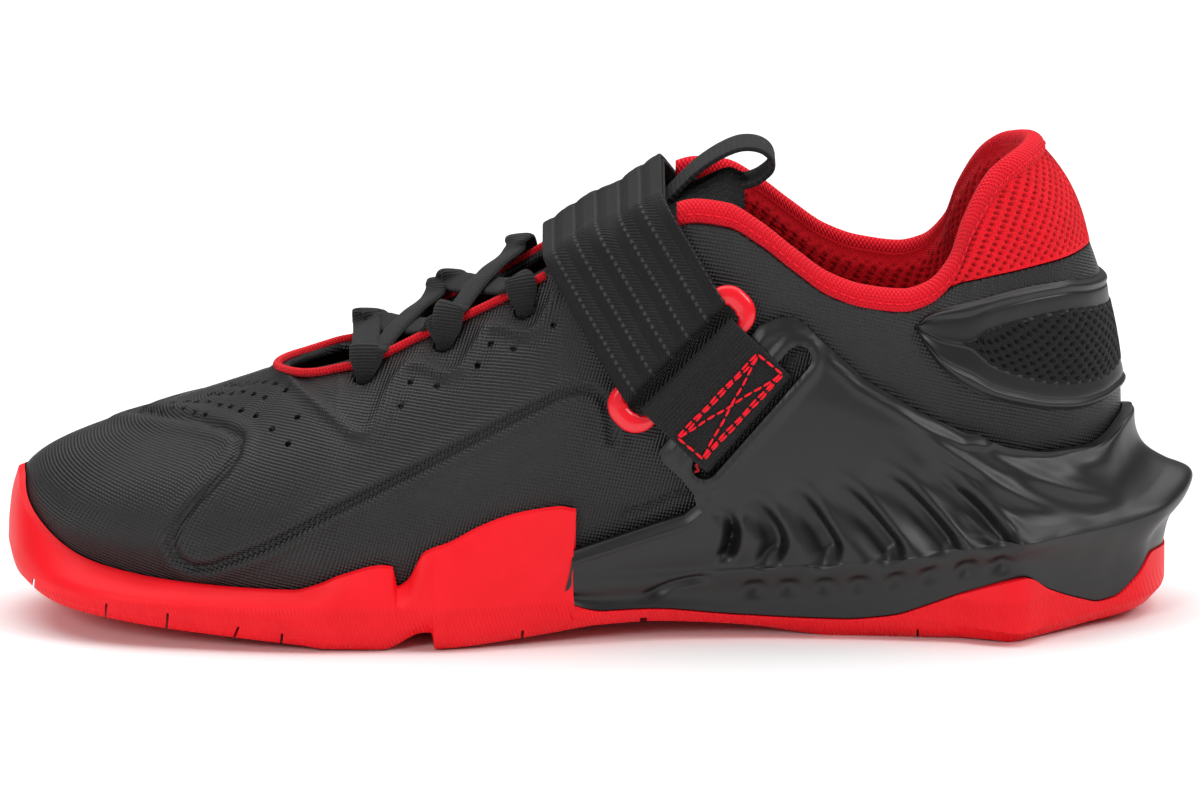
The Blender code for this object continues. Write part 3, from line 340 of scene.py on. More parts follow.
def stops_between(first, last, across=1.2, turn=1.1):
    """Close stations: across is their distance on straight parts, turn their angle round the ends."""
    keys = []
    at = first
    while at < last - 0.4 * across:
        keys.append(at)
        at += across if TOE_X <= at <= HEEL_X else turn
    return np.array(keys + [last])


def round_shoe(stations, closed=True):
    """Stations and sides from the inner side to the outer side, as one list round the shoe."""
    back = stations[::-1][1:-1] if closed else stations[::-1][1:]
    sides = np.concatenate([np.full(len(stations), INNER), np.full(len(back), OUTER)])
    return np.concatenate([stations, back]), sides


def unit(a):
    return a / np.maximum(np.linalg.norm(a, axis=-1, keepdims=True), 1e-9)


def along(points, axis, closed):
    """Steps between the neighbours of each point in a grid."""
    if closed:
        return np.roll(points, -1, axis) - np.roll(points, 1, axis)
    return np.gradient(points, axis=axis)


def grid_normals(points, closed_rows):
    """Normals of a grid of points, turned as a whole to face away from its middle."""
    normals = unit(np.cross(along(points, 0, closed_rows), along(points, 1, False)))
    middle = points.reshape(-1, 3).mean(axis=0)
    return normals if (normals * (points - middle)).sum() > 0 else -normals


def bend(a, b, c, d, f):
    """A smooth curve from b to c at share f. a and d are the points before and after them."""
    return 0.5 * (2 * b + (c - a) * f + (2 * a - 5 * b + 4 * c - d) * f ** 2
                  + (3 * b - a - 3 * c + d) * f ** 3)


def through(points, count):
    """A smooth line through points, as count points at even distances."""
    points = np.asarray(points, float)
    ends = np.vstack([2 * points[0] - points[1], points, 2 * points[-1] - points[-2]])
    f = np.linspace(0, 1, 24, endpoint=False)[:, None]
    dense = [bend(*ends[i:i + 4], f) for i in range(len(points) - 1)]
    return evenly(np.vstack(dense + [points[-1:]]), count)


def evenly(line, count):
    """The same line as count points at even distances."""
    run = lengths(line[:, None], 0)[:, 0]
    wanted = np.linspace(0, run[-1], count)
    return np.stack([np.interp(wanted, run, line[:, k]) for k in range(line.shape[1])], axis=-1)


def lengths(points, axis):
    """How far each point of a grid is along its row or column."""
    steps = np.linalg.norm(np.diff(points, axis=axis), axis=-1)
    total = np.cumsum(steps, axis=axis)
    pad = np.zeros_like(total[:1] if axis == 0 else total[:, :1])
    return np.concatenate([pad, total], axis=axis)


def wall_y(x, z, side, out=0.0):
    """The y of the wall's outside at places in side view between the hinges."""
    x, z = np.asarray(x, float).ravel(), np.asarray(z, float).ravel()
    t = wall_at(x, side, z)
    r = wall(x, side, t, out)[0]
    return place(x, side, r, 0.0)[:, 0, 1]


def over_wall(station, side, t, out):
    """One point on the wall's outside, moved outward by out."""
    return place([station], side, *wall([station], side, [[t]], out))[0, 0]


def out_of_wall(station, side, t):
    """The way out of the wall at one place."""
    return unit(over_wall(station, side, t, 1.0) - over_wall(station, side, t, 0.0))


def flat(values):
    return np.asarray(values, float).reshape(-1)


def to_line(at, line):
    """How far each point is from a bent line, and the side of the line that it is on."""
    line = np.asarray(line, float)
    best = np.full(at.shape[:-1], 1e9)
    sign = np.ones(at.shape[:-1])
    for a, b in zip(line, line[1:]):
        run = b - a
        f = np.clip(((at - a) @ run) / (run @ run), 0, 1)
        apart = at - (a + f[..., None] * run)
        far = np.linalg.norm(apart, axis=-1)
        turn = run[0] * apart[..., 1] - run[1] * apart[..., 0]
        nearer = far < best
        best = np.where(nearer, far, best)
        sign = np.where(nearer, np.sign(turn), sign)
    return best, sign


# Meshes

SHOE_BODY = "root"


def make_mesh(name, points, faces, uvs=None, smooth=True):
    """A piece from points in millimetres before the plan shift. uvs are one pair per face corner."""
    mesh = bpy.data.meshes.new(name)
    mesh.from_pydata(((points + PLAN_SHIFT) / 1000).tolist(), [], faces)
    if uvs is not None:
        layer = mesh.uv_layers.new(name="cloth")
        layer.data.foreach_set("uv", np.asarray(uvs, np.float32).ravel())
    if smooth:
        mesh.shade_smooth()
    mesh.update()
    made = bpy.data.objects.new(name, mesh)
    bpy.context.scene.collection.objects.link(made)
    return made


def grid_piece(name, points, closed_rows=False, closed_columns=False, capped=False):
    """Joins a grid of points with four-cornered faces, with a map of its own lengths in millimetres."""
    n, m = points.shape[:2]
    rows = n if closed_rows else n - 1
    columns = m if closed_columns else m - 1
    i, j = np.meshgrid(np.arange(rows), np.arange(columns), indexing="ij")
    i, j = i.ravel(), j.ravel()
    i2, j2 = (i + 1) % n, (j + 1) % m
    faces = np.stack([i * m + j, i2 * m + j, i2 * m + j2, i * m + j2], axis=-1).tolist()
    wrapped = np.concatenate([points, points[:1]], axis=0)
    wrapped = np.concatenate([wrapped, wrapped[:, :1]], axis=1)
    u = np.zeros(wrapped.shape[:2])
    u[1:] = np.cumsum(np.linalg.norm(np.diff(wrapped, axis=0), axis=-1).mean(axis=1))[:, None]
    uv = np.stack([u, lengths(wrapped, 1)], axis=-1)
    uvs = np.stack([uv[i, j], uv[i + 1, j], uv[i + 1, j + 1], uv[i, j + 1]], axis=1).reshape(-1, 2)
    if capped:
        faces += [list(range(m)), list(range((n - 1) * m, n * m))[::-1]]
        uvs = np.vstack([uvs, np.zeros((2 * m, 2))])
    return make_mesh(name, points.reshape(-1, 3), faces, uvs)


def face_outward(made):
    """Turns a closed piece's faces outward."""
    work = bmesh.new()
    work.from_mesh(made.data)
    bmesh.ops.recalc_face_normals(work, faces=work.faces)
    work.to_mesh(made.data)
    work.free()
    return made


def band(name, points):
    """A closed section carried through rows of points, capped at both ends."""
    return face_outward(grid_piece(name, points, closed_columns=True, capped=True))


def sweep(name, path, up, section, swell=1.0):
    """A section of (across, up) offsets carried along a path. swell scales it, here and there or all over."""
    step = unit(along(path, 0, False))
    across = unit(np.cross(step, up))
    over = np.cross(across, step)
    wide, high = section[:, 0] * swell, section[:, 1] * swell
    return band(name, path[:, None] + across[:, None] * wide[..., None] + over[:, None] * high[..., None])


def oval(wide, high, count, power=1.0):
    """An oval section. A power below 1 makes it a band with rounded edges."""
    angle = np.linspace(0, 2 * math.pi, count, endpoint=False)
    c, s = np.cos(angle), np.sin(angle)
    x, y = np.sign(c) * np.abs(c) ** power, np.sign(s) * np.abs(s) ** power
    return np.stack([wide * x, high * y], axis=-1)


def shade(made, name, values):
    """Keeps one number per point of a piece for its finish."""
    layer = made.data.attributes.new(name, "FLOAT", "POINT")
    layer.data.foreach_set("value", np.asarray(values, np.float32).ravel())


def thread(name, starts, ends, outs, radius, lift):
    """Short stitches from starts to ends on a surface that faces outs."""
    ring = 6
    shares = np.array([0.0, 0.12, 0.35, 0.65, 0.88, 1.0])
    full = np.array([0.25, 0.8, 1.0, 1.0, 0.8, 0.25]) * radius
    high = np.array([-0.3, 0.35, 1.0, 1.0, 0.35, -0.3]) * lift
    step = unit(ends - starts)
    across = unit(np.cross(step, outs))
    middle = (starts[:, None] + (ends - starts)[:, None] * shares[None, :, None]
              + outs[:, None] * high[None, :, None])
    angle = np.linspace(0, 2 * math.pi, ring, endpoint=False)
    c, s = np.cos(angle), np.sin(angle)
    around = across[:, None] * c[None, :, None] + outs[:, None] * s[None, :, None]
    points = middle[:, :, None] + around[:, None] * full[None, :, None, None]
    count = len(starts)
    faces = []
    for k in range(count):
        base = k * len(shares) * ring
        for i in range(len(shares) - 1):
            for j in range(ring):
                a = base + i * ring + j
                b = base + i * ring + (j + 1) % ring
                faces.append([a, b, b + ring, a + ring])
        faces.append([base + j for j in range(ring)][::-1])
        faces.append([base + (len(shares) - 1) * ring + j for j in range(ring)])
    return face_outward(make_mesh(name, points.reshape(-1, 3), faces))


def stitch_line(line, outs, pitch, share):
    """Starts, ends and facings of stitches at an even pitch along a line."""
    stops = lengths(line[:, None], 0)[:, 0]
    length = stops[-1]
    count = max(1, round(length / pitch))
    first = (np.arange(count) + (1 - share) / 2) * length / count
    last = (np.arange(count) + (1 + share) / 2) * length / count

    def at(where, table):
        return np.stack([np.interp(where, stops, table[:, k]) for k in range(3)], axis=-1)

    return at(first, line), at(last, line), unit(at((first + last) / 2, outs))


def cut(piece, cutters):
    """Takes closed cutters out of a piece for good."""
    for cutter in cutters:
        step = piece.modifiers.new("cut", "BOOLEAN")
        step.operation = "DIFFERENCE"
        step.solver = "EXACT"
        step.object = cutter
    bpy.context.view_layer.update()
    seen = piece.evaluated_get(bpy.context.evaluated_depsgraph_get())
    mesh = bpy.data.meshes.new_from_object(seen)
    piece.modifiers.clear()
    piece.data = mesh
    for cutter in cutters:
        bpy.data.objects.remove(cutter)


def prism(outline, span):
    """A closed cutter with this outline in side view."""
    count = len(outline)
    points = np.array([(x, y, z) for y in span for x, z in outline])
    faces = [list(range(count)), list(range(count, 2 * count))[::-1]]
    for i in range(count):
        k = (i + 1) % count
        faces.append([i, count + i, count + k, k])
    return face_outward(make_mesh("cutter", points, faces, smooth=False))


# Finishes


def linear(code):
    """An sRGB hex colour as linear red, green, blue and full cover."""
    values = [int(code[k:k + 2], 16) / 255 for k in (1, 3, 5)]
    return [v / 12.92 if v <= 0.04045 else ((v + 0.055) / 1.055) ** 2.4 for v in values] + [1.0]


def add(tree, kind, settings=None, links=None):
    """Adds a node with its settings and links, and gives its outputs."""
    node = tree.nodes.new(kind)
    for key, value in (settings or {}).items():
        if isinstance(key, str) and hasattr(node, key):
            setattr(node, key, value)
        else:
            node.inputs[key].default_value = value
    for key, socket in (links or {}).items():
        tree.links.new(socket, node.inputs[key])
    return node.outputs


def finish(name, colour, roughness, sockets=None):
    """A material with its shader's own values set. Gives the material, its tree and its shader."""
    made = bpy.data.materials.new(name)
    made.use_nodes = True
    shader = made.node_tree.nodes["Principled BSDF"]
    shader.inputs["Base Color"].default_value = linear(colour)
    shader.inputs["Roughness"].default_value = roughness
    for key, value in (sockets or {}).items():
        shader.inputs[key].default_value = value
    made.diffuse_color = linear(colour)
    return made, made.node_tree, shader


def wave(tree, measure, pitch):
    """A wave from -1 to 1 with this pitch along a measure in the same unit."""
    turns = add(tree, "ShaderNodeMath", {"operation": "MULTIPLY", 1: 2 * math.pi / pitch}, {0: measure})[0]
    return add(tree, "ShaderNodeMath", {"operation": "COSINE"}, {0: turns})[0]


def lattice(tree, pitch_u, pitch_v, turn=0.0, how="ADD"):
    """Two crossed waves on the piece's own map, joined by how."""
    at = add(tree, "ShaderNodeUVMap", {"uv_map": "cloth"})[0]
    settings = {"rotation_type": "Z_AXIS", "Angle": turn}
    turned = add(tree, "ShaderNodeVectorRotate", settings, {"Vector": at})[0]
    u, v, _ = add(tree, "ShaderNodeSeparateXYZ", None, {0: turned})
    links = {0: wave(tree, u, pitch_u), 1: wave(tree, v, pitch_v)}
    return add(tree, "ShaderNodeMath", {"operation": how}, links)[0]


def raise_by(tree, shader, height, distance):
    """Bumps the shader's surface by a height from 0 to 1 that stands for distance in millimetres."""
    links = {"Height": height}
    if shader.inputs["Normal"].is_linked:
        links["Normal"] = shader.inputs["Normal"].links[0].from_socket
    bumped = add(tree, "ShaderNodeBump", {"Strength": 1.0, "Distance": distance / 1000}, links)[0]
    tree.links.new(bumped, shader.inputs["Normal"])


def speckle(tree, size, detail=3.0):
    """Noise with features of this size in millimetres."""
    where = add(tree, "ShaderNodeTexCoord")["Object"]
    settings = {"Scale": 1000 / size, "Detail": detail, "Roughness": 0.55}
    return add(tree, "ShaderNodeTexNoise", settings, {"Vector": where})["Fac"]


def blend(tree, share, first, second):
    """Two colours mixed by a share, each a hex colour or a node's output."""
    settings = {"data_type": "RGBA", "blend_type": "MIX"}
    links = {0: share}
    for socket, colour in ((6, first), (7, second)):
        if isinstance(colour, str):
            settings[socket] = linear(colour)
        else:
            links[socket] = colour
    return add(tree, "ShaderNodeMix", settings, links)[2]


def between(tree, factor, low, high, first, second):
    """Two colours mixed as factor goes from low to high."""
    share = add(tree, "ShaderNodeMapRange", {"From Min": low, "From Max": high}, {"Value": factor})[0]
    return blend(tree, share, first, second)


def coated_cloth():
    """Polyester textile with a thin polyurethane coat: a 0.9 mm grid of crossings with a soft sheen."""
    made, tree, shader = finish("coated_polyester_cloth", "#111011", 0.40, {"Specular IOR Level": 0.42})
    grain = lattice(tree, 0.9, 0.9, 0.28)
    raise_by(tree, shader, grain, 0.06)
    plain = between(tree, speckle(tree, 9.0, 2.0), 0.3, 0.7, "#0d0c0d", "#131213")
    # The punched holes and eyelets are shallow dents, so their "hole" depth turns the colour near black:
    # painted shade in the holes.
    hole = add(tree, "ShaderNodeAttribute", {"attribute_name": "hole"})["Fac"]
    tree.links.new(blend(tree, hole, plain, "#030303"), shader.inputs["Base Color"])
    return made


def satin_moulding():
    """Injection-moulded thermoplastic, satin from its mould, with faint flow marks."""
    made, tree, shader = finish("moulded_polyurethane_black", "#131212", 0.40, {"Specular IOR Level": 0.5})
    raise_by(tree, shader, speckle(tree, 0.5, 2.0), 0.02)
    patches = speckle(tree, 14.0, 3.0)
    tree.links.new(between(tree, patches, 0.3, 0.75, "#100f0f", "#151414"), shader.inputs["Base Color"])
    return made


# The rubber's fine ribs: their pitch, their slant, and the height where they end.
RIB_PITCH = 1.0
RIB_SLANT = 0.3
RIB_TOP = 12.5


def red_rubber():
    """Vulcanised rubber, pressed in a mould: matt, with fine slanted ribs low on its sides."""
    made, tree, shader = finish("pressed_rubber_red", "#f20e1e", 0.5, {"Specular IOR Level": 0.25})
    raise_by(tree, shader, speckle(tree, 0.6, 3.0), 0.03)
    where = add(tree, "ShaderNodeTexCoord")["Object"]
    x, _, z = add(tree, "ShaderNodeSeparateXYZ", None, {0: where})
    slanted = add(tree, "ShaderNodeMath", {"operation": "MULTIPLY_ADD", 1: RIB_SLANT}, {0: z, 2: x})[0]
    limits = {"From Min": RIB_TOP / 1000, "From Max": (RIB_TOP - 1.0) / 1000}
    low_side = add(tree, "ShaderNodeMapRange", limits, {"Value": z})[0]
    links = {0: wave(tree, slanted, RIB_PITCH / 1000), 1: low_side}
    raise_by(tree, shader, add(tree, "ShaderNodeMath", {"operation": "MULTIPLY"}, links)[0], 0.10)
    patches = speckle(tree, 12.0, 3.0)
    tree.links.new(between(tree, patches, 0.3, 0.75, "#ee0c1b", "#f81222"), shader.inputs["Base Color"])
    return made


def knit(name, colour, dark, pitch):
    """Polyester knit with small staggered loops."""
    made, tree, shader = finish(name, colour, 0.8, {"Sheen Weight": 0.05, "Specular IOR Level": 0.2})
    loops = lattice(tree, pitch, pitch * 1.6, 0.0, "MULTIPLY")
    raise_by(tree, shader, loops, 0.25)
    raise_by(tree, shader, speckle(tree, 0.3, 2.0), 0.05)
    # The colour darkens where the loops dip: painted shade between the loops.
    tree.links.new(between(tree, loops, -0.9, 0.3, dark, colour), shader.inputs["Base Color"])
    return made


def gloss_plastic():
    """Acetal moulding, smooth and glossy."""
    made, tree, shader = finish("moulded_acetal_red", "#ec1224", 0.22, {"Specular IOR Level": 0.55})
    raise_by(tree, shader, speckle(tree, 2.0, 2.0), 0.01)
    return made


def ribbed_tape(name, colour, light, pitch):
    """Woven polyester tape with fine ribs across it."""
    made, tree, shader = finish(name, colour, 0.7, {"Sheen Weight": 0.06, "Specular IOR Level": 0.35})
    ribs = lattice(tree, pitch, 0.5)
    raise_by(tree, shader, ribs, 0.12)
    # The colour follows the ribs, lighter on their crests and darker between them: painted highlight and
    # shade.
    tree.links.new(between(tree, ribs, -0.5, 1.6, colour, light), shader.inputs["Base Color"])
    return made


def spacer(name, colour, dark):
    """Polyester spacer mesh: open holes in rows, with fine yarn between them; the holes are darkened with
    painted shade.
    """
    made, tree, shader = finish(name, colour, 0.78, {"Sheen Weight": 0.06, "Specular IOR Level": 0.2})
    yarn = lattice(tree, 0.55, 0.55, 0.6)
    raise_by(tree, shader, yarn, 0.07)
    raise_by(tree, shader, speckle(tree, 0.35, 2.0), 0.06)
    # The "hole" share turns the colour dark: painted shade inside the holes and between a cord's strands.
    hole = add(tree, "ShaderNodeAttribute", {"attribute_name": "hole"})["Fac"]
    tree.links.new(between(tree, hole, 0.1, 0.9, colour, dark), shader.inputs["Base Color"])
    return made


# The strap's sewn lines, as millimetres from its front edge, and the pitch of their stitches.
STITCH_FIRST = 3.6
STITCH_GAP = 6.6
STITCH_PITCH = 1.9


def strap_elastic():
    """Woven polyester elastic: slanted ribs at 1 mm, with sewn lines of grey thread along it."""
    made, tree, shader = finish("woven_elastic_black", "#0c0b0b", 0.7, {"Specular IOR Level": 0.35})
    at = add(tree, "ShaderNodeUVMap", {"uv_map": "cloth"})[0]
    u, v, _ = add(tree, "ShaderNodeSeparateXYZ", None, {0: at})
    # The map's second number is the distance from the front edge, and the first runs along the strap.
    shifted = add(tree, "ShaderNodeMath", {"operation": "SUBTRACT", 1: STITCH_FIRST}, {0: v})[0]
    away = add(tree, "ShaderNodeMath", {"operation": "PINGPONG", 1: STITCH_GAP / 2}, {0: shifted})[0]
    on_line = add(tree, "ShaderNodeMapRange", {"From Min": 0.55, "From Max": 0.35}, {"Value": away})[0]
    stitch = wave(tree, u, STITCH_PITCH)
    dash = add(tree, "ShaderNodeMapRange", {"From Min": -0.6, "From Max": 0.2}, {"Value": stitch})[0]
    sewn = add(tree, "ShaderNodeMath", {"operation": "MULTIPLY"}, {0: on_line, 1: dash})[0]
    # The slanted ribs change their slant in rows, as in a herringbone.
    skewed = add(tree, "ShaderNodeMath", {"operation": "MULTIPLY_ADD", 1: 0.9}, {0: away, 2: u})[0]
    ribs = wave(tree, skewed, 1.0)
    raise_by(tree, shader, ribs, 0.12)
    raise_by(tree, shader, sewn, 0.25)
    # The colour follows the ribs, darker in their grooves and lighter on their crests: painted shade and
    # highlight.
    plain = between(tree, ribs, -1.0, 1.0, "#070606", "#100e0f")
    tree.links.new(blend(tree, sewn, plain, "#3b3738"), shader.inputs["Base Color"])
    return made


def put(piece, made, slot, *nodes):
    """Gives a piece its finish and its body, and hides the CAD nodes that it stands for. The slot is not
    used.
    """
    if not piece.data.materials:
        piece.data.materials.append(made)
    if nodes:
        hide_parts(*nodes)
    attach(piece, SHOE_BODY)
    return piece


# Camera, light and floor

# Lengths are in metres here.
AIM = Vector((0.0003, 0.0, 0.0547))
ELEVATION = math.radians(14)
DISTANCE = 2.8
PIXELS_PER_METRE = 3863.0
FRAME_WIDTH = 1200
SENSOR = 36.0


def make_camera():
    data = bpy.data.cameras.new("camera")
    data.sensor_width = SENSOR
    data.lens = SENSOR * DISTANCE * PIXELS_PER_METRE / FRAME_WIDTH
    data.clip_end = 20.0
    camera = bpy.data.objects.new("camera", data)
    bpy.context.scene.collection.objects.link(camera)
    camera.location = AIM + Vector((0, -math.cos(ELEVATION), math.sin(ELEVATION))) * DISTANCE
    camera.rotation_euler = (math.pi / 2 - ELEVATION, 0, 0)
    bpy.context.scene.camera = camera


def make_light(name, place_at, size, power):
    data = bpy.data.lights.new(name, "AREA")
    data.shape = "RECTANGLE"
    data.size, data.size_y = size
    data.energy = power
    light = bpy.data.objects.new(name, data)
    bpy.context.scene.collection.objects.link(light)
    light.location = place_at
    light.rotation_euler = (AIM - Vector(place_at)).to_track_quat("-Z", "Y").to_euler()


# name, place, size, watts
LIGHTS = [
    ("overhead_softbox", (0.0, 0.35, 1.7), (2.8, 2.2), 46),
    ("front_softbox", (-0.9, -1.5, 0.9), (0.5, 0.5), 9),
    ("rear_softbox", (1.1, -0.5, 1.0), (0.5, 0.5), 6),
]
WORLD_STRENGTH = 0.26
# Half the floor's side.
FLOOR_HALF = 12.0


def make_studio():
    """Soft light from above, two small softboxes and a pale floor."""
    world = bpy.data.worlds.new("studio")
    bpy.context.scene.world = world
    world.use_nodes = True
    background = world.node_tree.nodes["Background"]
    background.inputs["Color"].default_value = (1.0, 1.0, 1.0, 1.0)
    background.inputs["Strength"].default_value = WORLD_STRENGTH
    for light in LIGHTS:
        make_light(*light)
    corners = np.array([(-1, -1, 0), (1, -1, 0), (1, 1, 0), (-1, 1, 0)]) * FLOOR_HALF * 1000
    floor = make_mesh("floor", corners, [[0, 1, 2, 3]], smooth=False)
    floor.data.materials.append(finish("paper_sweep", "#fbfbfb", 0.9)[0])


def set_view():
    """Colours are shown as they are, so that a hex value and the picture agree."""
    bpy.context.scene.view_settings.view_transform = "Standard"


# Upper

# The way from the shoe's inner side to the camera.
TOWARD_VIEW = np.array([0.0, -math.cos(ELEVATION), math.sin(ELEVATION)])
# A wall at this distance from the middle line is seen at its height times the cosine of the tilt.
USUAL_WALL = 38.0


def seen_at(points, side):
    """Places in the view from the shoe's own side, 14 degrees from above: along, and up."""
    turned = np.where(side < 0, points[..., 1], -points[..., 1])
    up = points[..., 2] * math.cos(ELEVATION) + (turned + USUAL_WALL) * math.sin(ELEVATION)
    return np.stack([points[..., 0], up], axis=-1)


# The toe cap's rear edge, the eyestay's edge and the stitched line before the fin, as seen_at gives them.
TOE_SEAM = [(-124.0, 60.4), (-119.6, 59.8), (-103.0, 57.0), (-96.0, 55.1), (-91.6, 52.8), (-92.7, 47.9),
            (-96.0, 43.0), (-103.0, 36.2), (-107.9, 30.5), (-109.2, 25.6), (-107.9, 21.5), (-103.8, 19.2),
            (-98.9, 19.4), (-85.7, 24.3), (-68.3, 33.4), (-46.3, 44.5), (-22.3, 57.2), (-9.6, 63.7),
            (-2.8, 65.0), (1.0, 62.9), (2.8, 59.0), (3.6, 51.8)]
EYESTAY = [(-84.0, 71.0), (-80.0, 68.3), (-76.4, 64.7), (-68.9, 58.5), (-62.6, 53.6), (-59.3, 53.6),
           (-57.0, 57.2), (-53.1, 66.0), (-49.4, 71.2), (-45.6, 71.4), (-39.3, 68.6), (-34.9, 70.4),
           (-32.4, 74.8), (-28.7, 80.8), (-24.9, 81.0), (-18.6, 79.0), (-15.5, 81.0), (-12.9, 85.4),
           (-11.1, 89.0)]
SIDE_SEAM = [(6.7, 33.1), (12.0, 33.7), (18.4, 36.5), (25.9, 38.6)]
# What is pressed into the cloth along each line: rise, distance from the line, half width.
PRESSED = [
    (TOE_SEAM, [(-0.95, 0.0, 1.5), (0.5, 2.4, 2.6)]),
    (EYESTAY, [(0.9, 0.0, 1.6), (-0.25, 3.0, 1.6)]),
    (SIDE_SEAM, [(-0.35, 0.0, 1.2)]),
]

# Stations of the three open eyelets of each side, their reach from the middle line, and the dish round each.
EYELETS = [-60.0, -39.5, -19.0]
EYELET_R = 19.5
EYELET_HOLE = 2.7
EYELET_DISH = 0.9
EYELET_DISH_R = 4.2
EYELET_PLACES = [(station, side) for station in EYELETS for side in (INNER, OUTER)]

# Small punched holes of the vamp and the side, as seen_at gives them, with their radius and depth.
VAMP_HOLES = [
    (-115.9, 59.8), (-113.2, 59.7), (-110.3, 59.6), (-107.4, 59.3), (-104.3, 58.7), (-101.0, 58.3),
    (-109.9, 61.3), (-106.6, 61.6), (-103.9, 61.7), (-100.9, 61.5), (-98.0, 61.1), (-94.9, 60.6),
    (-91.8, 59.6), (-88.0, 58.2), (-83.8, 54.8), (-79.7, 50.9), (-100.2, 63.8), (-97.5, 64.0),
    (-94.7, 64.1), (-92.0, 63.9), (-89.0, 63.5), (-85.8, 62.6), (-96.4, 65.8), (-93.9, 66.2),
    (-91.4, 66.7), (-88.8, 67.0), (-86.2, 67.1), (-83.7, 66.6), (-80.5, 65.2), (-77.3, 57.6),
    (-47.9, 66.8), (-41.2, 65.8), (-50.5, 60.8), (-28.0, 76.6), (-21.7, 75.6), (-30.8, 71.2),
    (-11.4, 81.5)]
HOLE_R = 0.95
HOLE_DEEP = 1.1
# The share of a small hole's radius that its sloping edge takes.
HOLE_EDGE = 0.55
# How far round a hole the mesh is made finer, and the station where the red lining starts inside.
FINE_ROUND = 0.7
LINING_FROM = 12.0


def eyelet_t(station, side):
    """Where an eyelet sits on the wall, as t."""
    low, high = 0.4, 1.0
    wanted = EYELET_R + (station - EYELETS[0]) * 0.04
    for _ in range(24):
        t = (low + high) / 2
        if wall([station], side, [[t]])[0][0, 0] < wanted:
            high = t
        else:
            low = t
    return low


def punch(made, holes):
    """Presses round holes into a piece, each a centre, a way out and a radius, in a mesh made finer there."""
    holes = [((centre + PLAN_SHIFT) / 1000, out, radius) for centre, out, radius in holes]
    work = bmesh.new()
    work.from_mesh(made.data)
    near = np.zeros(len(work.verts), bool)
    at = np.array([v.co for v in work.verts])
    for centre, _, radius in holes:
        near |= np.linalg.norm(at - centre, axis=1) < (radius + FINE_ROUND) / 1000
    work.verts.ensure_lookup_table()
    edges = [e for e in work.edges if near[e.verts[0].index] and near[e.verts[1].index]]
    bmesh.ops.subdivide_edges(work, edges=edges, cuts=3, use_grid_fill=True)
    work.to_mesh(made.data)
    work.free()
    mesh = made.data
    at = np.empty(len(mesh.vertices) * 3)
    mesh.vertices.foreach_get("co", at)
    at = at.reshape(-1, 3)
    depth = np.zeros(len(at))
    for centre, out, radius in holes:
        far = np.linalg.norm(at - centre, axis=1) * 1000
        inside = far < radius
        full = ease((radius - far[inside]) / (HOLE_R * HOLE_EDGE))
        depth[inside] = full
        at[inside] -= out * (full * HOLE_DEEP / 1000)[:, None]
    mesh.vertices.foreach_set("co", at.ravel())
    # The depth is kept as "hole", which the finish uses to paint shade into the holes.
    shade(made, "hole", depth)
    mesh.update()
    return made


def upper_holes(outer, normals, view, sides):
    """The eyelets, centred a little inside the cloth, and the small punched holes."""
    holes = []
    for station, side in EYELET_PLACES:
        t = eyelet_t(station, side)
        holes.append((over_wall(station, side, t, -0.6), out_of_wall(station, side, t), EYELET_HOLE))
    rows = np.arange(len(sides))[sides < 0]
    hidden = 9.0 * (normals[rows] @ TOWARD_VIEW <= 0.05)
    for seen in VAMP_HOLES:
        apart = np.linalg.norm(view[rows] - np.array(seen), axis=-1) + hidden
        i, j = np.unravel_index(np.argmin(apart), apart.shape)
        for row in {int(rows[i]), int(len(sides) - rows[i]) % len(sides)}:
            holes.append((outer[row, j], normals[row, j], HOLE_R))
    return holes


def make_upper(cloth, lining):
    stations, sides = round_shoe(stops_between(TIP, BACK, 1.15, 0.95))
    end = upper_edge(stations, sides)
    t = np.linspace(0, 1, 96)[None, :] * end
    outer = place(stations, sides, *wall(stations, sides, t))
    normals = grid_normals(outer, True)
    view = seen_at(outer, sides[:, None])
    relief = np.zeros(outer.shape[:2])
    for line, rises in PRESSED:
        far, _ = to_line(view, line)
        for rise, at, half in rises:
            relief += rise * bell(far - at, half)
    for station, side in EYELET_PLACES:
        hole = over_wall(station, side, eyelet_t(station, side), 0.0)
        relief -= EYELET_DISH * bell(np.linalg.norm(outer - hole, axis=-1), EYELET_DISH_R)
    outer = outer + normals * relief[..., None]
    inner_t = np.linspace(1, 0, 14)[None, :] * end
    inner = place(stations, sides, *wall(stations, sides, inner_t, -WALL))
    both = np.concatenate([outer, inner], axis=1)
    made = grid_piece("upper_cloth", both, closed_rows=True, closed_columns=True)
    columns = both.shape[1]
    column_of = np.arange(len(made.data.polygons)) % columns
    x = np.array([face.center.x for face in made.data.polygons]) * 1000
    inside = (column_of >= outer.shape[1]) & (column_of < columns - 1) & (x > LINING_FROM)
    made.data.materials.append(cloth)
    made.data.materials.append(lining)
    made.data.polygons.foreach_set("material_index", inside.astype(np.int32))
    made.data.update()
    return face_outward(punch(made, upper_holes(outer, normals, view, sides)))


# The wall behind the stitched line is about 44 mm from the middle line, so its height comes from the one
# seen in the tilted view by a fixed drop and the cosine of the tilt.
SEAM_DROP = 1.45
SEAM_TILT = 0.97


def make_side_seam():
    """A short row of stitches on both sides, in the cloth above the wedge's front."""
    x, seen = through(SIDE_SEAM, 60).T
    z = (seen + SEAM_DROP) / SEAM_TILT
    rows = []
    for side in (INNER, OUTER):
        skin = [np.stack([x, wall_y(x, z, side, out), z], axis=-1) for out in (0.0, 1.0)]
        rows.append(stitch_line(skin[0], unit(skin[1] - skin[0]), 1.5, 0.6))
    starts, ends, outs = (np.concatenate(part) for part in zip(*rows))
    return thread("side_seam_stitches", starts, ends, outs, 0.3, 0.12)


# Outsole


def under(x, edge):
    """Height of the sole's underside, from its middle (0) to its edge (1)."""
    return mix(GROUND_MID(x), GROUND_EDGE(x), edge)


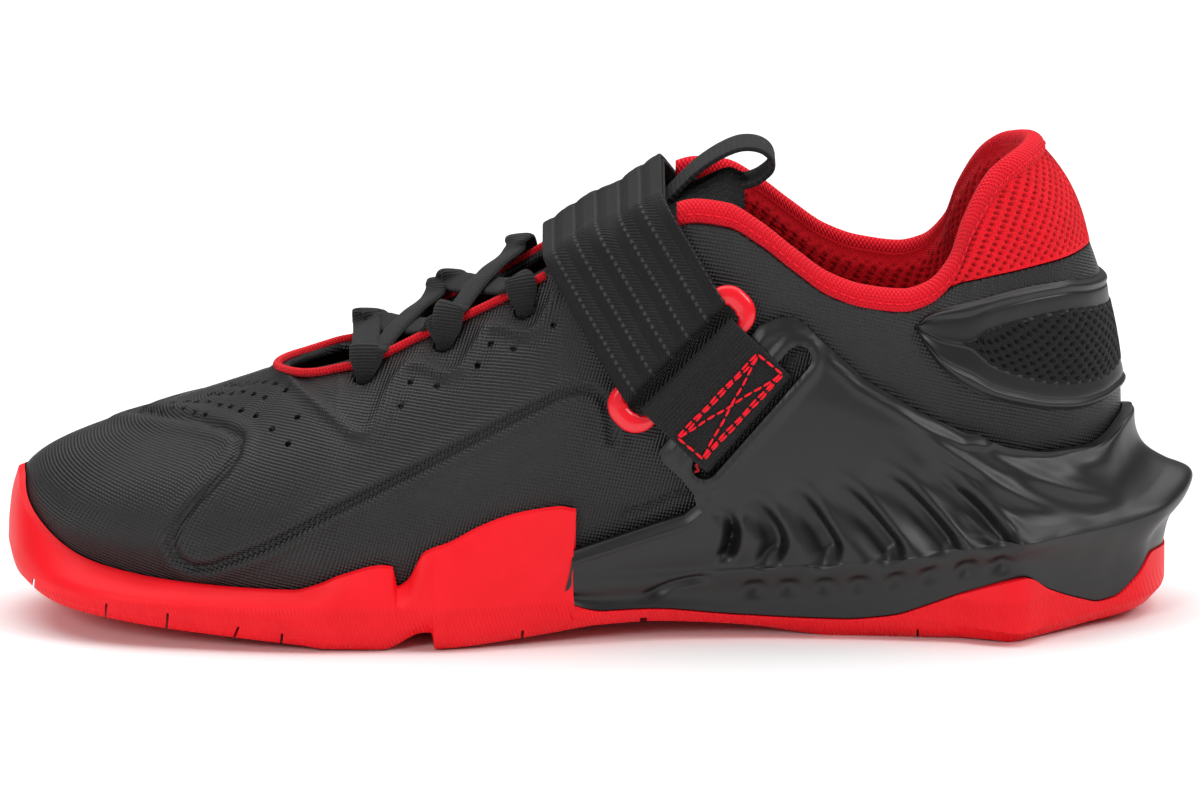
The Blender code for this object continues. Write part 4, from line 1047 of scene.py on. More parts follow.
def stack_points(points):
    """Control points, (reach, height) with one value per station, as one array."""
    return np.stack([np.stack(np.broadcast_arrays(r, z), axis=-1) for r, z in points], axis=1)


def profile(parts, counts):
    """Joins lists of control points into dense sections, each list straight or smooth."""
    rows = [dense_section(stack_points(points), count, smooth)
            for (points, smooth), count in zip(parts, counts)]
    return np.concatenate(rows, axis=1)


def dense_section(points, count, smooth):
    """Adds count - 1 points between neighbours of every section, straight or curved."""
    before = np.concatenate([2 * points[:, :1] - points[:, 1:2], points[:, :-1]], axis=1)
    after = np.concatenate([points[:, 1:], 2 * points[:, -1:] - points[:, -2:-1]], axis=1)
    out = []
    for i in range(points.shape[1] - 1):
        a, b, c, d = before[:, i], points[:, i], points[:, i + 1], after[:, i + 1]
        for f in np.linspace(0, 1, count, endpoint=False):
            out.append(bend(a, b, c, d, f) if smooth else mix(b, c, f))
    out.append(points[:, -1])
    return np.stack(out, axis=1)


# The edge between underside and side: how far in it starts and ends, and its height.
EDGE_WIDE = 3.0
EDGE_STEP = 0.7
EDGE_HIGH = 2.6
# The rubber's thickness beside the wedge's foot.
SOLE_SIDE = 3.4
# The red rubber's thickness over the cloth, at its top edge and the least below that.
RAND_EDGE = 1.6
RAND_LEAST = 1.3
# The red side stands out in a crease under the highest place of its boundary.
FLANK_X = 111.0
FLANK_HALF = 14.0
FLANK_OUT = 3.6

# Narrow grooves across the sole.
# x, lean toward the heel, half width, depth
FLEX = [
    (-146.6, 1.2, 0.3, 3.4),
    (-127.0, 1.0, 0.3, 4.2),
    (-111.5, 1.4, 0.3, 4.6),
    (-96.0, 4.0, 0.35, 3.2),
    (-82.0, 1.2, 0.3, 3.0),
    (-20.0, 0.6, 0.3, 2.6),
    (11.0, 0.6, 0.9, 1.2),
    (82.0, 0.0, 0.3, 1.2),
]
# How far a cutter reaches below the sole and to both sides of the shoe.
CUT_BELOW = 8.0
CUT_SPAN = (-90.0, 90.0)


def sole_points(stations, sides):
    """The underside from the middle to the bottom edge, with the reach of the sole's side."""
    reach = by_side(sides, SOLE_INNER, SOLE_OUTER, stations)

    def ground(r, edge):
        return under(flat(place(stations, sides, column(r), 0.0)[..., 0]), edge)

    points = [(reach * share, ground(reach * share, 0.0)) for share in (0.0, 0.45, 0.85)]
    low = ground(reach - EDGE_WIDE, 1.0)
    points.append((reach - EDGE_WIDE, low))
    points.append((reach - EDGE_STEP, low + EDGE_HIGH))
    return points, reach, low


# The joint between the front rubber and the wedge leans and rounds under at its foot.
# height, step along the shoe
FRONT_LEAN = Curve([(5.0, 0.0), (8.5, 0.6), (12.7, -2.4), (17.0, -1.4), (25.0, 0.0), (37.0, 1.1)], 1)


def lean_front(points):
    """Moves points near the joint of the front rubber and the wedge along the shoe."""
    moved = points.copy()
    moved[..., 0] += FRONT_LEAN(points[..., 2]) * bell(points[..., 0] - WEDGE_START, 14.0)
    return moved


def make_outsole():
    stations = np.concatenate([stops_between(TIP, -60, 1.2, 1.0), stops_between(-59, -38, 0.5),
                               stops_between(-37, -8, 1.2), [-6.8, -6.5], stops_between(-5, BACK, 1.2, 1.2)])
    stations, sides = round_shoe(stations)
    foot, reach, low = sole_points(stations, sides)
    front = stations < WEDGE_START
    top = np.where(front, RED_FRONT(stations), RED_BACK(stations))
    tip = flat(wall_reach(stations, sides, top)) + GAP + RAND_EDGE
    # The side's curve starts a little above the bottom edge, and always below the top edge.
    start = np.where(front, np.minimum(low + 6.0, top - 1.0), np.minimum(low + 3.4, top - 0.3))
    crease = FLANK_OUT * np.maximum(0.0, 1 - np.abs(stations - FLANK_X) / FLANK_HALF)
    side_points = []
    for f in (0.0, 0.35, 0.7, 1.0):
        z = np.where(front, mix(start, top - 0.5, f), mix(start, top, f))
        r = np.where(front, mix(reach, tip, f * f), reach)
        clear = flat(wall_reach(stations, sides, z)) + GAP + RAND_LEAST
        r = np.where(front & (z > FEATHER(stations)), np.maximum(r, clear), r)
        side_points.append((r + np.where(front, 0.0, crease * (1 - f * 0.6)), z))
    end = flat(upper_edge(stations, sides))
    limit = flat(wall_at(stations, sides, top))
    inside = []
    for k, share in enumerate(np.linspace(1, 0, 9)):
        r, z = wall(stations, sides, column(np.minimum(share * end, limit)), GAP)
        back_r = reach - (2.6 if k == 0 else SOLE_SIDE)
        back_z = top if k == 0 else FLOOR(stations)
        inside.append((np.where(front, flat(r), back_r), np.where(front, flat(z), back_z)))
    middle = np.where(front, platform(stations, 0.0), FLOOR(np.minimum(stations, HEEL_X)))
    inside.append((0.0 * reach, middle))
    section = profile([(foot, False), (side_points, True), (inside, False)], (8, 6, 2))
    points = lean_front(place(stations, sides, section[..., 0], section[..., 1]))
    made = face_outward(grid_piece("outsole_rubber", points, closed_rows=True))
    cutters = []
    for x, lean, wide, deep in FLEX:
        base = float(GROUND_EDGE(x))
        low, high = base - CUT_BELOW, base + deep
        cutters.append(prism([(x - wide, low), (x + wide, low), (x + wide + lean, high),
                              (x - wide + lean, high)], CUT_SPAN))
    cut(made, cutters)
    made.data.set_sharp_from_angle(angle=math.radians(42))
    return made


# Wedge

# The wedge's ridge line and the hollow above it.
# station, ridge beyond the sole's edge, ridge height, half its thickness, hollow's clearance, hollow's height
WEDGE = [
    (-6.5, 0.2, 17.0, 2.0, 3.0, 23.5),
    (20, 0.6, 18.0, 1.6, 4.0, 29.0),
    (37, 1.4, 19.3, 1.0, 4.6, 34.0),
    (63, 2.2, 20.6, 0.9, 5.2, 38.0),
    (86, 2.8, 23.6, 0.9, 6.0, 40.0),
    (116, 3.4, 27.4, 0.9, 7.6, 41.0),
    (134, 3.6, 27.6, 1.2, 7.6, 42.0),
    (144, 4.2, 28.0, 1.4, 6.8, 44.0),
    (151, 4.6, 29.4, 1.7, 5.0, 46.5),
    (158, 5.4, 31.6, 2.0, 4.0, 48.5),
    (168, 6.2, 34.4, 2.2, 3.6, 49.5),
]
RIDGE_OUT, RIDGE_Z, RIDGE_HALF, HOLLOW_OUT, HOLLOW_Z = (Curve(WEDGE, k) for k in range(1, 6))
# The top of the wedge's wall, before the line below trims it on the sides.
# station, height
WEDGE_RIM = [
    (-6.5, 34.0),
    (12, 60.0),
    (36, 88.0),
    (54, 88.0),
    (70, 76.0),
    (86, 66.0),
    (94, 61.5),
    (102, 57.0),
    (110, 52.8),
    (120, 49.8),
    (132, 48.2),
    (145, 48.2),
    (151, 49.4),
    (160, 52.4),
    (168, 53.7),
]
WEDGE_TOP = Curve(WEDGE_RIM, 1)
# The line between the wedge and the cloth, in side view.
# x, height
WEDGE_LINE = [
    (-9, 24.4),
    (6, 29),
    (22, 34),
    (25, 36.5),
    (24.4, 39.5),
    (21, 44),
    (16.4, 48),
    (15.5, 51),
    (18, 54),
    (41, 83),
    (46, 85),
    (50, 85),
    (53, 83),
    (57, 79),
    (68, 69),
    (82, 60.6),
    (94, 54.6),
    (99, 54.0),
]

# The hollows between the wedge's slanted ribs: each rib's sharp front edge in side view, and
# how far the hollow reaches in front of it.
HOLLOWS = [
    ([(33.4, 37.6), (35.4, 35.4), (37.0, 30.8), (36.7, 25.5), (35.2, 20.6)], 6.4),
    ([(39.5, 39.6), (43.2, 37.5), (47.1, 32.2), (49.1, 26.8), (48.4, 20.6)], 9.6),
    ([(49.0, 43.0), (54.3, 39.6), (59.5, 32.2), (63.1, 25.5), (63.6, 21.4)], 11.0),
    ([(60.0, 45.4), (67.2, 40.2), (74.2, 32.2), (78.9, 26.0), (79.9, 22.2)], 12.0),
    ([(70.5, 48.6), (79.4, 42.8), (87.2, 34.8), (93.1, 28.2), (95.9, 24.4)], 12.0),
    ([(83.5, 49.0), (92.4, 43.3), (100.1, 36.2), (107.1, 30.4), (110.3, 27.0)], 11.0),
]
HOLLOW_DEEP = 4.5
# Long soft crests behind the hollows, each with its rise.
CRESTS = [([(72.0, 66.0), (80.0, 58.0), (94.0, 47.3), (109.5, 37.4), (125.0, 31.6)], 1.1),
          ([(86.0, 62.0), (93.0, 54.6), (107.4, 44.6), (124.0, 37.4), (140.0, 33.4)], 0.9)]


def rib_relief(side_view):
    """How far the surface stands out at places in side view: hollows between the ribs, and crests."""
    total = np.zeros(side_view.shape[:2])
    for line, reach in HOLLOWS:
        line = through(line, 26)
        far, sign = to_line(side_view, line)
        run = line[-1] - line[0]
        f = ((side_view - line[0]) @ run) / (run @ run)
        before = sign < 0
        across = np.where(before, ease(far / 2.8) * ease((reach - far) / (reach * 0.66)), 0.0)
        ridge = np.where(before, bell(far - 4.2, 1.8), 0.0)
        lens = ease((f + 0.02) / 0.6) * ease((1.0 - f) / 0.22)
        total -= HOLLOW_DEEP * lens * across
        total += 0.3 * lens * ridge * ease((f - 0.25) / 0.3)
        crest = np.where(before, 0.0, bell(far - 0.9, 1.6))
        total += 0.4 * crest * ease((f + 0.1) / 0.5) * ease((1.0 - f) / 0.2)
    for line, rise in CRESTS:
        line = through(line, 30)
        far, _ = to_line(side_view, line)
        f = (side_view[..., 0] - line[0, 0]) / (line[-1, 0] - line[0, 0])
        total += rise * (bell(far, 2.6) - 0.4 * bell(far - 5.0, 3.0)) * ease(f / 0.35) * ease((1 - f) / 0.35)
    return total


# The leaf-shaped hollow under the ridge, and the cusps farther back, in side view.
LEAF = [(9.5, 11.2), (14.5, 13.0), (20.0, 15.4), (26.0, 16.6), (31.0, 17.2)]
LEAF_DEEP = 1.5
LEAF_HALF = 2.1
CUSPS = [44.5, 62.5, 80.5, 98.5]
CUSP_DEEP = 1.7
# A cusp is the pair of dents at this distance from its x, each with this half width.
CUSP_SIDE = 4.4
CUSP_HALF = 4.6


def under_ridge_relief(side_view, ridge_z):
    """The leaf and the cusps, below the ridge's lower edge at each station."""
    x = side_view[..., 0]
    far, _ = to_line(side_view, through(LEAF, 20))
    f = (x - LEAF[0][0]) / (LEAF[-1][0] - LEAF[0][0])
    total = -LEAF_DEEP * bell(far, LEAF_HALF) * ease(f / 0.3) * ease((1 - f) / 0.3)
    below = side_view[..., 1] - ridge_z
    fade = ease((below + 8.5) / 5.0) * ease((-below - 1.6) / 3.4)
    for at in CUSPS:
        total -= CUSP_DEEP * bell(np.abs(x - at) - CUSP_SIDE, CUSP_HALF) * fade
    return total


# The slot in the fin, from the middle of one round end to the other, in side view.
SLOT_LOW = (27.2, 47.0)
SLOT_HIGH = (51.0, 74.7)
SLOT_HALF = 3.4


def slot_outline():
    """The slot's outline, a long hole with round ends."""
    lean = math.atan2(SLOT_HIGH[1] - SLOT_LOW[1], SLOT_HIGH[0] - SLOT_LOW[0])
    points = []
    for centre, first in ((SLOT_HIGH, -90), (SLOT_LOW, 90)):
        for k in range(13):
            angle = lean + math.radians(first + 15 * k)
            points.append((centre[0] + SLOT_HALF * math.cos(angle), centre[1] + SLOT_HALF * math.sin(angle)))
    return points


# How many points the smoothing leaves alone at a section's start and end, and how often it runs.
SWEEP_FROM = 40
SWEEP_TO = 17
SWEEP_ROUNDS = 68
# A height above the wedge, up to which its trimming cutter reaches.
CUT_TOP = 120.0


def wedge_sides(stations, sides, sole, red, top):
    """The wedge's outside, from the red rubber over the ridge to the cloth."""
    ridge_r = sole + RIDGE_OUT(stations)
    ridge_z, half, hollow_z = RIDGE_Z(stations), RIDGE_HALF(stations), HOLLOW_Z(stations)
    hollow = (flat(wall_reach(stations, sides, hollow_z)) + HOLLOW_OUT(stations), hollow_z)
    low = (sole - 0.5, red + GAP)
    outside = [low, (mix(low[0], ridge_r, 0.4) - 0.8, mix(low[1], ridge_z - half, 0.5)),
               (ridge_r, ridge_z - half), (ridge_r, ridge_z + half)]
    for f in (0.33, 0.66):
        sag = 1.0 - f
        outside.append((mix(hollow[0], ridge_r, sag * sag * 0.9), mix(ridge_z + half, hollow_z, f * 0.85)))
    outside.append(hollow)
    limit = flat(wall_at(stations, sides, top))
    start = flat(wall_at(stations, sides, hollow_z + 3.0))
    for f in (0.0, 0.33, 0.67, 1.0):
        extra = mix(mix(0.6, HOLLOW_OUT(stations) - SKIN, 0.4), 0.0, min(1.0, f * 1.5))
        r, z = wall(stations, sides, column(mix(start, limit, f)), column(GAP + SKIN + extra))
        outside.append((flat(r), flat(z)))
    dense = dense_section(stack_points(outside), 11, True)
    # The slope from the ridge runs into the wall in one sweep.
    sweep_on = dense[:, SWEEP_FROM:-SWEEP_TO]
    for _ in range(SWEEP_ROUNDS):
        sweep_on[:, 1:-1] = (sweep_on[:, :-2] + 2 * sweep_on[:, 1:-1] + sweep_on[:, 2:]) / 4
    return place(stations, sides, dense[..., 0], dense[..., 1])


def wedge_relief(points, ridge_z):
    """What stands out of the wedge's sides or is sunk into them."""
    side_view = np.stack([points[..., 0], points[..., 2]], axis=-1)
    relief = rib_relief(side_view) + under_ridge_relief(side_view, ridge_z)
    far, _ = to_line(side_view, WEDGE_LINE)
    lip = 0.45 * bell(far - 2.8, 1.4) - 0.75 * ease(1 - far / 2.4)
    slot_far, _ = to_line(side_view, slot_outline() + slot_outline()[:1])
    rolled = bell(slot_far - 1.6, 2.2) + lip * ease((slot_far - 3.0) / 3.0)
    return relief + np.where(points[..., 1] < 0, rolled, lip)


def make_wedge():
    keys = np.concatenate([stops_between(WEDGE_START, 24.5, 1.0), stops_between(25.0, 77.5, 0.6),
                           stops_between(78.0, 135.0, 1.0, 0.75), stops_between(136.0, BACK, 1.0, 1.0)])
    stations, sides = round_shoe(keys, closed=False)
    sole = by_side(sides, SOLE_INNER, SOLE_OUTER, stations)
    red = RED_BACK(stations)
    top = np.minimum(WEDGE_TOP(stations), BLACK_Z(stations) - 4)
    points = wedge_sides(stations, sides, sole, red, top)
    relief = wedge_relief(points, column(RIDGE_Z(stations) - RIDGE_HALF(stations)))
    points = points + grid_normals(points, False) * relief[..., None]
    bed = FLOOR(stations) + GAP
    foot = [(0.0 * sole, bed), (sole - SOLE_SIDE - GAP, bed), (sole - 2.7 - GAP, red + GAP)]
    end = flat(upper_edge(stations, sides))
    limit = flat(wall_at(stations, sides, top))
    high = flat(wall_at(stations, sides, flat(wall(stations, sides, column(limit))[1])))
    inside = []
    for share in np.linspace(1, 0, 9):
        r, z = wall(stations, sides, column(np.minimum(share * end, high)), GAP)
        inside.append((flat(r), flat(z)))
    inside.append((0.0 * sole, platform(stations, 0.0)))
    foot, inside = (stack_points(part) for part in (foot, inside))
    foot = place(stations, sides, foot[..., 0], foot[..., 1])
    inside = place(stations, sides, inside[..., 0], inside[..., 1])
    made = grid_piece("wedge_moulding", lean_front(np.concatenate([foot, points, inside], axis=1)))
    work = bmesh.new()
    work.from_mesh(made.data)
    bmesh.ops.remove_doubles(work, verts=work.verts, dist=1e-6)
    edges = [e for e in work.edges if e.is_boundary]
    bmesh.ops.holes_fill(work, edges=edges, sides=0)
    bmesh.ops.recalc_face_normals(work, faces=work.faces)
    work.to_mesh(made.data)
    work.free()
    outline = WEDGE_LINE + [(WEDGE_LINE[-1][0], CUT_TOP), (WEDGE_LINE[0][0], CUT_TOP)]
    cut(made, [prism(outline, CUT_SPAN), prism(slot_outline(), (CUT_SPAN[0], -8.0))])
    made.data.shade_smooth()
    made.data.set_sharp_from_angle(angle=math.radians(50))
    return made


# Collar and heel


def with_thickness(stations, sides, t, outside, inside):
    """A closed section between two offsets of the wall, one row per station."""
    outer = place(stations, sides, *wall(stations, sides, t, outside))
    inner = place(stations, sides, *wall(stations, sides, t[:, ::-1], inside[:, ::-1]))
    return np.concatenate([outer, inner], axis=1)


def dimples(u, v, pitch_u, pitch_v):
    """Staggered holes of a spacer mesh, from 0 between them to 1 in their middles."""
    waves = np.cos(2 * math.pi * u / pitch_u) * np.cos(2 * math.pi * v / pitch_v)
    return ease((waves - 0.05) / 0.7)


# The collar's roll: half its height, half its thickness, and where its stitches run, from its top outward.
ROLL_HALF = 3.25
ROLL_THICK = 2.55
SEAM_ANGLE = math.radians(112)


def tangent(stations, sides, t):
    """The wall's upward direction as (reach, height)."""
    a, b = wall(stations, sides, t - 0.01), wall(stations, sides, t)
    dr, dz = b[0] - a[0], b[1] - a[1]
    size = np.hypot(dr, dz)
    return dr / size, dz / size


def roll_points(stations, sides, angle, swell):
    """Points on the collar's roll at an angle round it, 0 at its top and 90 degrees outside."""
    up_r, up_z = tangent(stations, sides, np.ones((len(stations), 1)))
    rim_r, rim_z = wall(stations, sides, np.ones((len(stations), 1)), -1.3)
    along_it = ROLL_HALF * np.cos(angle) * swell
    across = ROLL_THICK * np.sin(angle) * swell
    r = rim_r - up_r * ROLL_HALF + along_it * up_r + across * up_z
    z = rim_z - up_z * ROLL_HALF + along_it * up_z - across * up_r
    return place(stations, sides, r, z)


def make_binding():
    stations, sides = round_shoe(stops_between(20, BACK, 0.7, 0.9), closed=False)
    angle = np.linspace(0, 2 * math.pi, 28, endpoint=False)[None, :]
    # A pressed line runs under the stitches, a third of the way down the outside.
    swell = 1.0 - 0.10 * bell(angle - SEAM_ANGLE, 0.35)
    points = roll_points(stations, sides, angle, swell)
    return band("collar_roll", points)


def make_binding_stitches():
    stations, sides = round_shoe(stops_between(22, BACK, 0.7, 0.9), closed=False)
    line = roll_points(stations, sides, np.array([[SEAM_ANGLE]]), 0.93)[:, 0]
    beyond = roll_points(stations, sides, np.array([[SEAM_ANGLE]]), 1.3)[:, 0]
    starts, ends, outs = stitch_line(line, unit(beyond - line), 2.4, 0.78)
    return thread("collar_stitches", starts, ends, outs, 0.24, 0.22)


def below_roll(stations, sides, extra):
    """t just under the roll."""
    rim = wall(stations, sides, np.ones((len(stations), 1)))
    low, high = np.full((len(stations), 1), 0.4), np.ones((len(stations), 1))
    for _ in range(24):
        t = (low + high) / 2
        r, z = wall(stations, sides, t)
        clear = np.hypot(r - rim[0], z - rim[1]) > 2 * ROLL_HALF + extra
        low = np.where(clear, t, low)
        high = np.where(clear, high, t)
    return low


def make_heel_pad():
    stations, sides = round_shoe(stops_between(102, BACK, 0.5, 0.5), closed=False)
    low = wall_at(stations, sides, BLACK_Z(stations)) + 0.004
    high = np.maximum(below_roll(stations, sides, -1.6), low + 0.012)
    f = np.linspace(0, 1, 76)[None, :]
    t = mix(low, high, f)
    full = 0.2 + 1.4 * np.sin(math.pi * f) * np.minimum(1.0, (stations[:, None] - 100) / 14)
    sheet = place(stations, sides, *wall(stations, sides, t, full))
    holes = dimples(lengths(sheet, 0), lengths(sheet, 1), 3.0, 2.6)
    edge = ease(f / 0.06) * ease((1 - f) / 0.06)
    points = with_thickness(stations, sides, t, full - 0.75 * holes * edge, -2.4 + 0.0 * full)
    made = band("heel_mesh_pad", points)
    # The hole share paints shade into the pad's dimples.
    shade(made, "hole", np.concatenate([holes * edge, 0 * holes], axis=1))
    return made


def make_lining():
    stations, sides = round_shoe(stops_between(30, BACK, 0.75, 0.95), closed=False)
    low = wall_at(stations, sides, RIM_Z(stations) - 34)
    # The lining is sewn in under the roll, so it runs up inside it.
    high = below_roll(stations, sides, -4.2)
    f = np.linspace(0, 1, 58)[None, :]
    t = mix(low, high, f)
    puff = Curve([(0.0, 1.4), (0.22, 2.6), (0.44, 3.8), (0.66, 4.2), (0.86, 3.2), (1.0, 0.9)], 1)(f)
    inside = -3.1 - puff + 0.0 * t
    sheet = place(stations, sides, *wall(stations, sides, t, inside))
    holes = dimples(lengths(sheet, 0), lengths(sheet, 1), 3.4, 3.0)
    edge = ease(f / 0.08) * ease((1 - f) / 0.16)
    back = np.maximum(-3.1, inside + 0.5)
    points = with_thickness(stations, sides, t, back, inside + 0.6 * holes * edge)
    made = band("collar_lining_mesh", points)
    # The hole share paints shade into the lining's dimples.
    shade(made, "hole", np.concatenate([0 * holes, (holes * edge)[:, ::-1]], axis=1))
    return made


# Tongue and pull loop

# The tongue along its middle.
# x, height, half width, drop at its edges, thickness
TONGUE = [
    (-88, 57.6, 11.0, 1.6, 2.0),
    (-80, 61.0, 14.0, 2.4, 2.6),
    (-67, 64.0, 18.0, 3.6, 3.0),
    (-40, 74.6, 19.5, 5.2, 3.4),
    (-17, 87.2, 20.5, 5.2, 3.8),
    (0, 97.2, 20.5, 4.6, 4.2),
    (15, 107.6, 18.5, 5.4, 5.2),
    (26, 113.0, 18.0, 6.4, 6.4),
    (34, 116.2, 16.4, 7.4, 6.6),
    (37.5, 115.0, 12.0, 5.4, 4.6),
]


def make_tongue():
    height, half, drop, thick = (Curve(TONGUE, k) for k in (1, 2, 3, 4))
    x = np.concatenate([np.arange(-88, 36.4, 0.75), np.linspace(36.5, 37.5, 5)])
    f = np.sin(np.linspace(-math.pi / 2, math.pi / 2, 56))[None, :]
    x_grid = column(x) + 0 * f
    z = column(height(x)) - column(drop(x)) * f * f
    pinch = 1 - 0.45 * f ** 4
    y = column(spine(x)) + column(half(x)) * f
    over = np.stack([x_grid, y, z], axis=-1)
    holes = dimples(lengths(over, 0), lengths(over, 1), 3.2, 2.8) * ease((1 - np.abs(f)) / 0.08)
    rounded = 1 - 0.5 * np.abs(f) ** 8
    over = np.stack([x_grid, y, z - 0.7 * holes - (1 - rounded)], axis=-1)
    below = np.stack([x_grid, y, z - column(thick(x)) * pinch + (1 - rounded) * 0.6], axis=-1)
    points = np.concatenate([over, below[:, ::-1]], axis=1)
    made = band("tongue_mesh", points)
    # The hole share paints shade into the tongue's dimples.
    shade(made, "hole", np.concatenate([holes, 0 * holes], axis=1))
    return made


# The pull loop's middle line in side view.
# x, height
PULL = [
    (17.5, 108.6),
    (22.0, 113.4),
    (26.1, 117.2),
    (31.5, 120.8),
    (36.5, 122.8),
    (41.0, 122.6),
    (44.0, 120.6),
    (44.6, 117.4),
    (41.8, 114.6),
    (38.8, 113.2),
    (36.4, 112.8),
]
# Half the loop's width.
PULL_HALF = 8.0


def make_pull_loop():
    path = through([(x, 0.0, z) for x, z in PULL], 90)
    up = np.cross(unit(along(path, 0, False)), [0.0, -1.0, 0.0])
    return sweep("pull_loop_tape", path, up, oval(PULL_HALF, 0.8, 44, 0.35))


# Throat cord

# The cord's radius, and the length in which a strand goes once round it.
CORD_RADIUS = 1.1
STRAND_TURN = 5.2


def make_throat_cord():
    stops = np.array([-13.6, -17, -20.5, -24, -31, -38, -44.5, -50, -55.5, -61, -67, -80, -92, -103,
                      -112, -121, -130, -139, -148, -157])
    stations = np.concatenate([stops, stops[::-1][1:]])
    sides = np.concatenate([np.full(len(stops), INNER), np.full(len(stops) - 1, OUTER)])
    t = np.full((len(stations), 1), 0.985)
    line = place(stations, sides, *wall(stations, sides, t, 0.75))[:, 0]
    path = through(line, 620)
    section = oval(CORD_RADIUS, CORD_RADIUS, 18)
    around = np.linspace(0, 2 * math.pi, len(section), endpoint=False)[None, :]
    # Two sets of strands wind round the core.
    wind = 2 * math.pi * lengths(path[:, None], 0) / STRAND_TURN
    strands = np.cos(3 * around + 3 * wind) * np.cos(3 * around - 3 * wind)
    made = sweep("throat_piping", path, np.array([0.0, 0.0, 1.0]), section, 1.0 + 0.11 * strands)
    # The share between the strands paints shade into the braid's grooves.
    shade(made, "hole", ease((0.2 - strands) / 1.0))
    return made


# Heel frame

# The frame round the heel's mesh window.
# station, bottom, window bottom, window top, top
FRAME = [
    (83.5, 80.6, 81.2, 81.2, 82.0),
    (88, 76.4, 80.0, 80.0, 84.2),
    (94, 71.4, 78.4, 78.4, 85.8),
    (105, 65.6, 77.2, 77.2, 87.4),
    (114, 62.6, 72.0, 80.0, 88.7),
    (124, 60.3, 68.9, 81.4, 90.0),
    (133, 58.6, 66.6, 82.2, 90.8),
    (142, 57.8, 65.6, 82.6, 91.0),
    (151, 58.4, 65.4, 81.8, 90.0),
    (160, 59.2, 66.4, 81.0, 89.3),
    (168, 59.4, 67.4, 80.6, 89.0),
]
FRAME_LOW, WINDOW_LOW, WINDOW_HIGH, FRAME_HIGH = (Curve(FRAME, k) for k in (1, 2, 3, 4))


def frame_band(stations, sides, outside, inside, share):
    """One band of the frame: s runs from its outer edge to the window."""
    s = share[None, :]
    z = mix(column(outside), column(inside), s)
    rise = 0.75 + 0.6 * bell(s - 0.2, 0.17) - 0.25 * bell(s - 0.36, 0.07) - 0.55 * ease((s - 0.4) / 0.6)
    rise = rise * ease(s / 0.12) + 0.15 + 0.25 * bell(s - 0.95, 0.06)
    return place(stations, sides, *wall(stations, sides, wall_at(stations, sides, z), rise))


def make_heel_frame():
    stations, sides = round_shoe(stops_between(83.5, BACK, 0.8, 0.7), closed=False)
    share = np.linspace(0, 1, 34)
    made = []
    for name, edge, window in (("heel_frame_lower", FRAME_LOW, WINDOW_LOW),
                               ("heel_frame_upper", FRAME_HIGH, WINDOW_HIGH)):
        front = frame_band(stations, sides, edge(stations), window(stations), share)
        z = mix(column(edge(stations)), column(window(stations)), np.array([[1.0, 0.0]]))
        back = place(stations, sides, *wall(stations, sides, wall_at(stations, sides, z), 0.05))
        made.append(band(name, np.concatenate([front, back], axis=1)))
    return made


def make_window_mesh():
    stations, sides = round_shoe(stops_between(103, BACK, 0.5, 0.5), closed=False)
    f = np.linspace(-0.04, 1.04, 60)[None, :]
    z = mix(column(WINDOW_LOW(stations)) - 0.4, column(WINDOW_HIGH(stations)) + 0.4, f)
    t = wall_at(stations, sides, z)
    sheet = place(stations, sides, *wall(stations, sides, t, 0.6))
    holes = dimples(lengths(sheet, 0), lengths(sheet, 1), 3.6, 3.0)
    points = with_thickness(stations, sides, t, 0.75 - 0.6 * holes, 0.03 + 0.0 * t)
    made = band("heel_window_mesh", points)
    # The hole share paints shade into the window mesh's dimples.
    shade(made, "hole", np.concatenate([holes, 0 * holes], axis=1))
    return made


# Ring

# The ring lies on the inner side, its long axis rising to the rear at 45 degrees: the place of its middle,
# half its length, its corners, its bars' distance from the middle, their radius, and its lift off the cloth.
RING_X = 21.2
RING_Z = 74.6
RING_HALF = 23.5
RING_CORNER = 4.6
BAR_AT = 4.8
BAR_R = 1.5
RING_LIFT = 3.6


def on_wall(x, z):
    return np.array([x, wall_y(x, z, INNER)[0], z])


def ring_frame():
    """Centre, long axis, short axis toward the throat, and outward normal."""
    reach = 12 * math.sqrt(0.5)
    axes = []
    for a, b in ((1, 1), (-1, 1)):
        ahead = on_wall(RING_X + reach * a, RING_Z + reach * b)
        back = on_wall(RING_X - reach * a, RING_Z - reach * b)
        axes.append(unit(ahead - back))
    long_axis, short_axis = axes
    normal = unit(np.cross(short_axis, long_axis))
    if normal[1] > 0:
        normal = -normal
    short_axis = unit(np.cross(normal, long_axis))
    if short_axis[2] < 0:
        short_axis = -short_axis
    return on_wall(RING_X, RING_Z), long_axis, short_axis, normal


AT, LONG, SHORT, NORMAL = ring_frame()


def on_ring(a, b, n):
    """Points on the ring's own axes: along it, across it and out of the shoe."""
    a, b, n = (np.asarray(v, float)[..., None] for v in (a, b, n))
    return AT + LONG * a + SHORT * b + NORMAL * n


def ring_lift():
    """How far the wall rises over the ring's plane under the ring."""
    most = 0.0
    for a in (-24, -16, -8, 0, 8, 16, 24):
        for b in (-6, 0, 6):
            p = on_ring(a, b, 0.0)
            most = max(most, float((on_wall(p[0], p[2]) - AT) @ NORMAL))
    return most


LIFT = ring_lift() + RING_LIFT


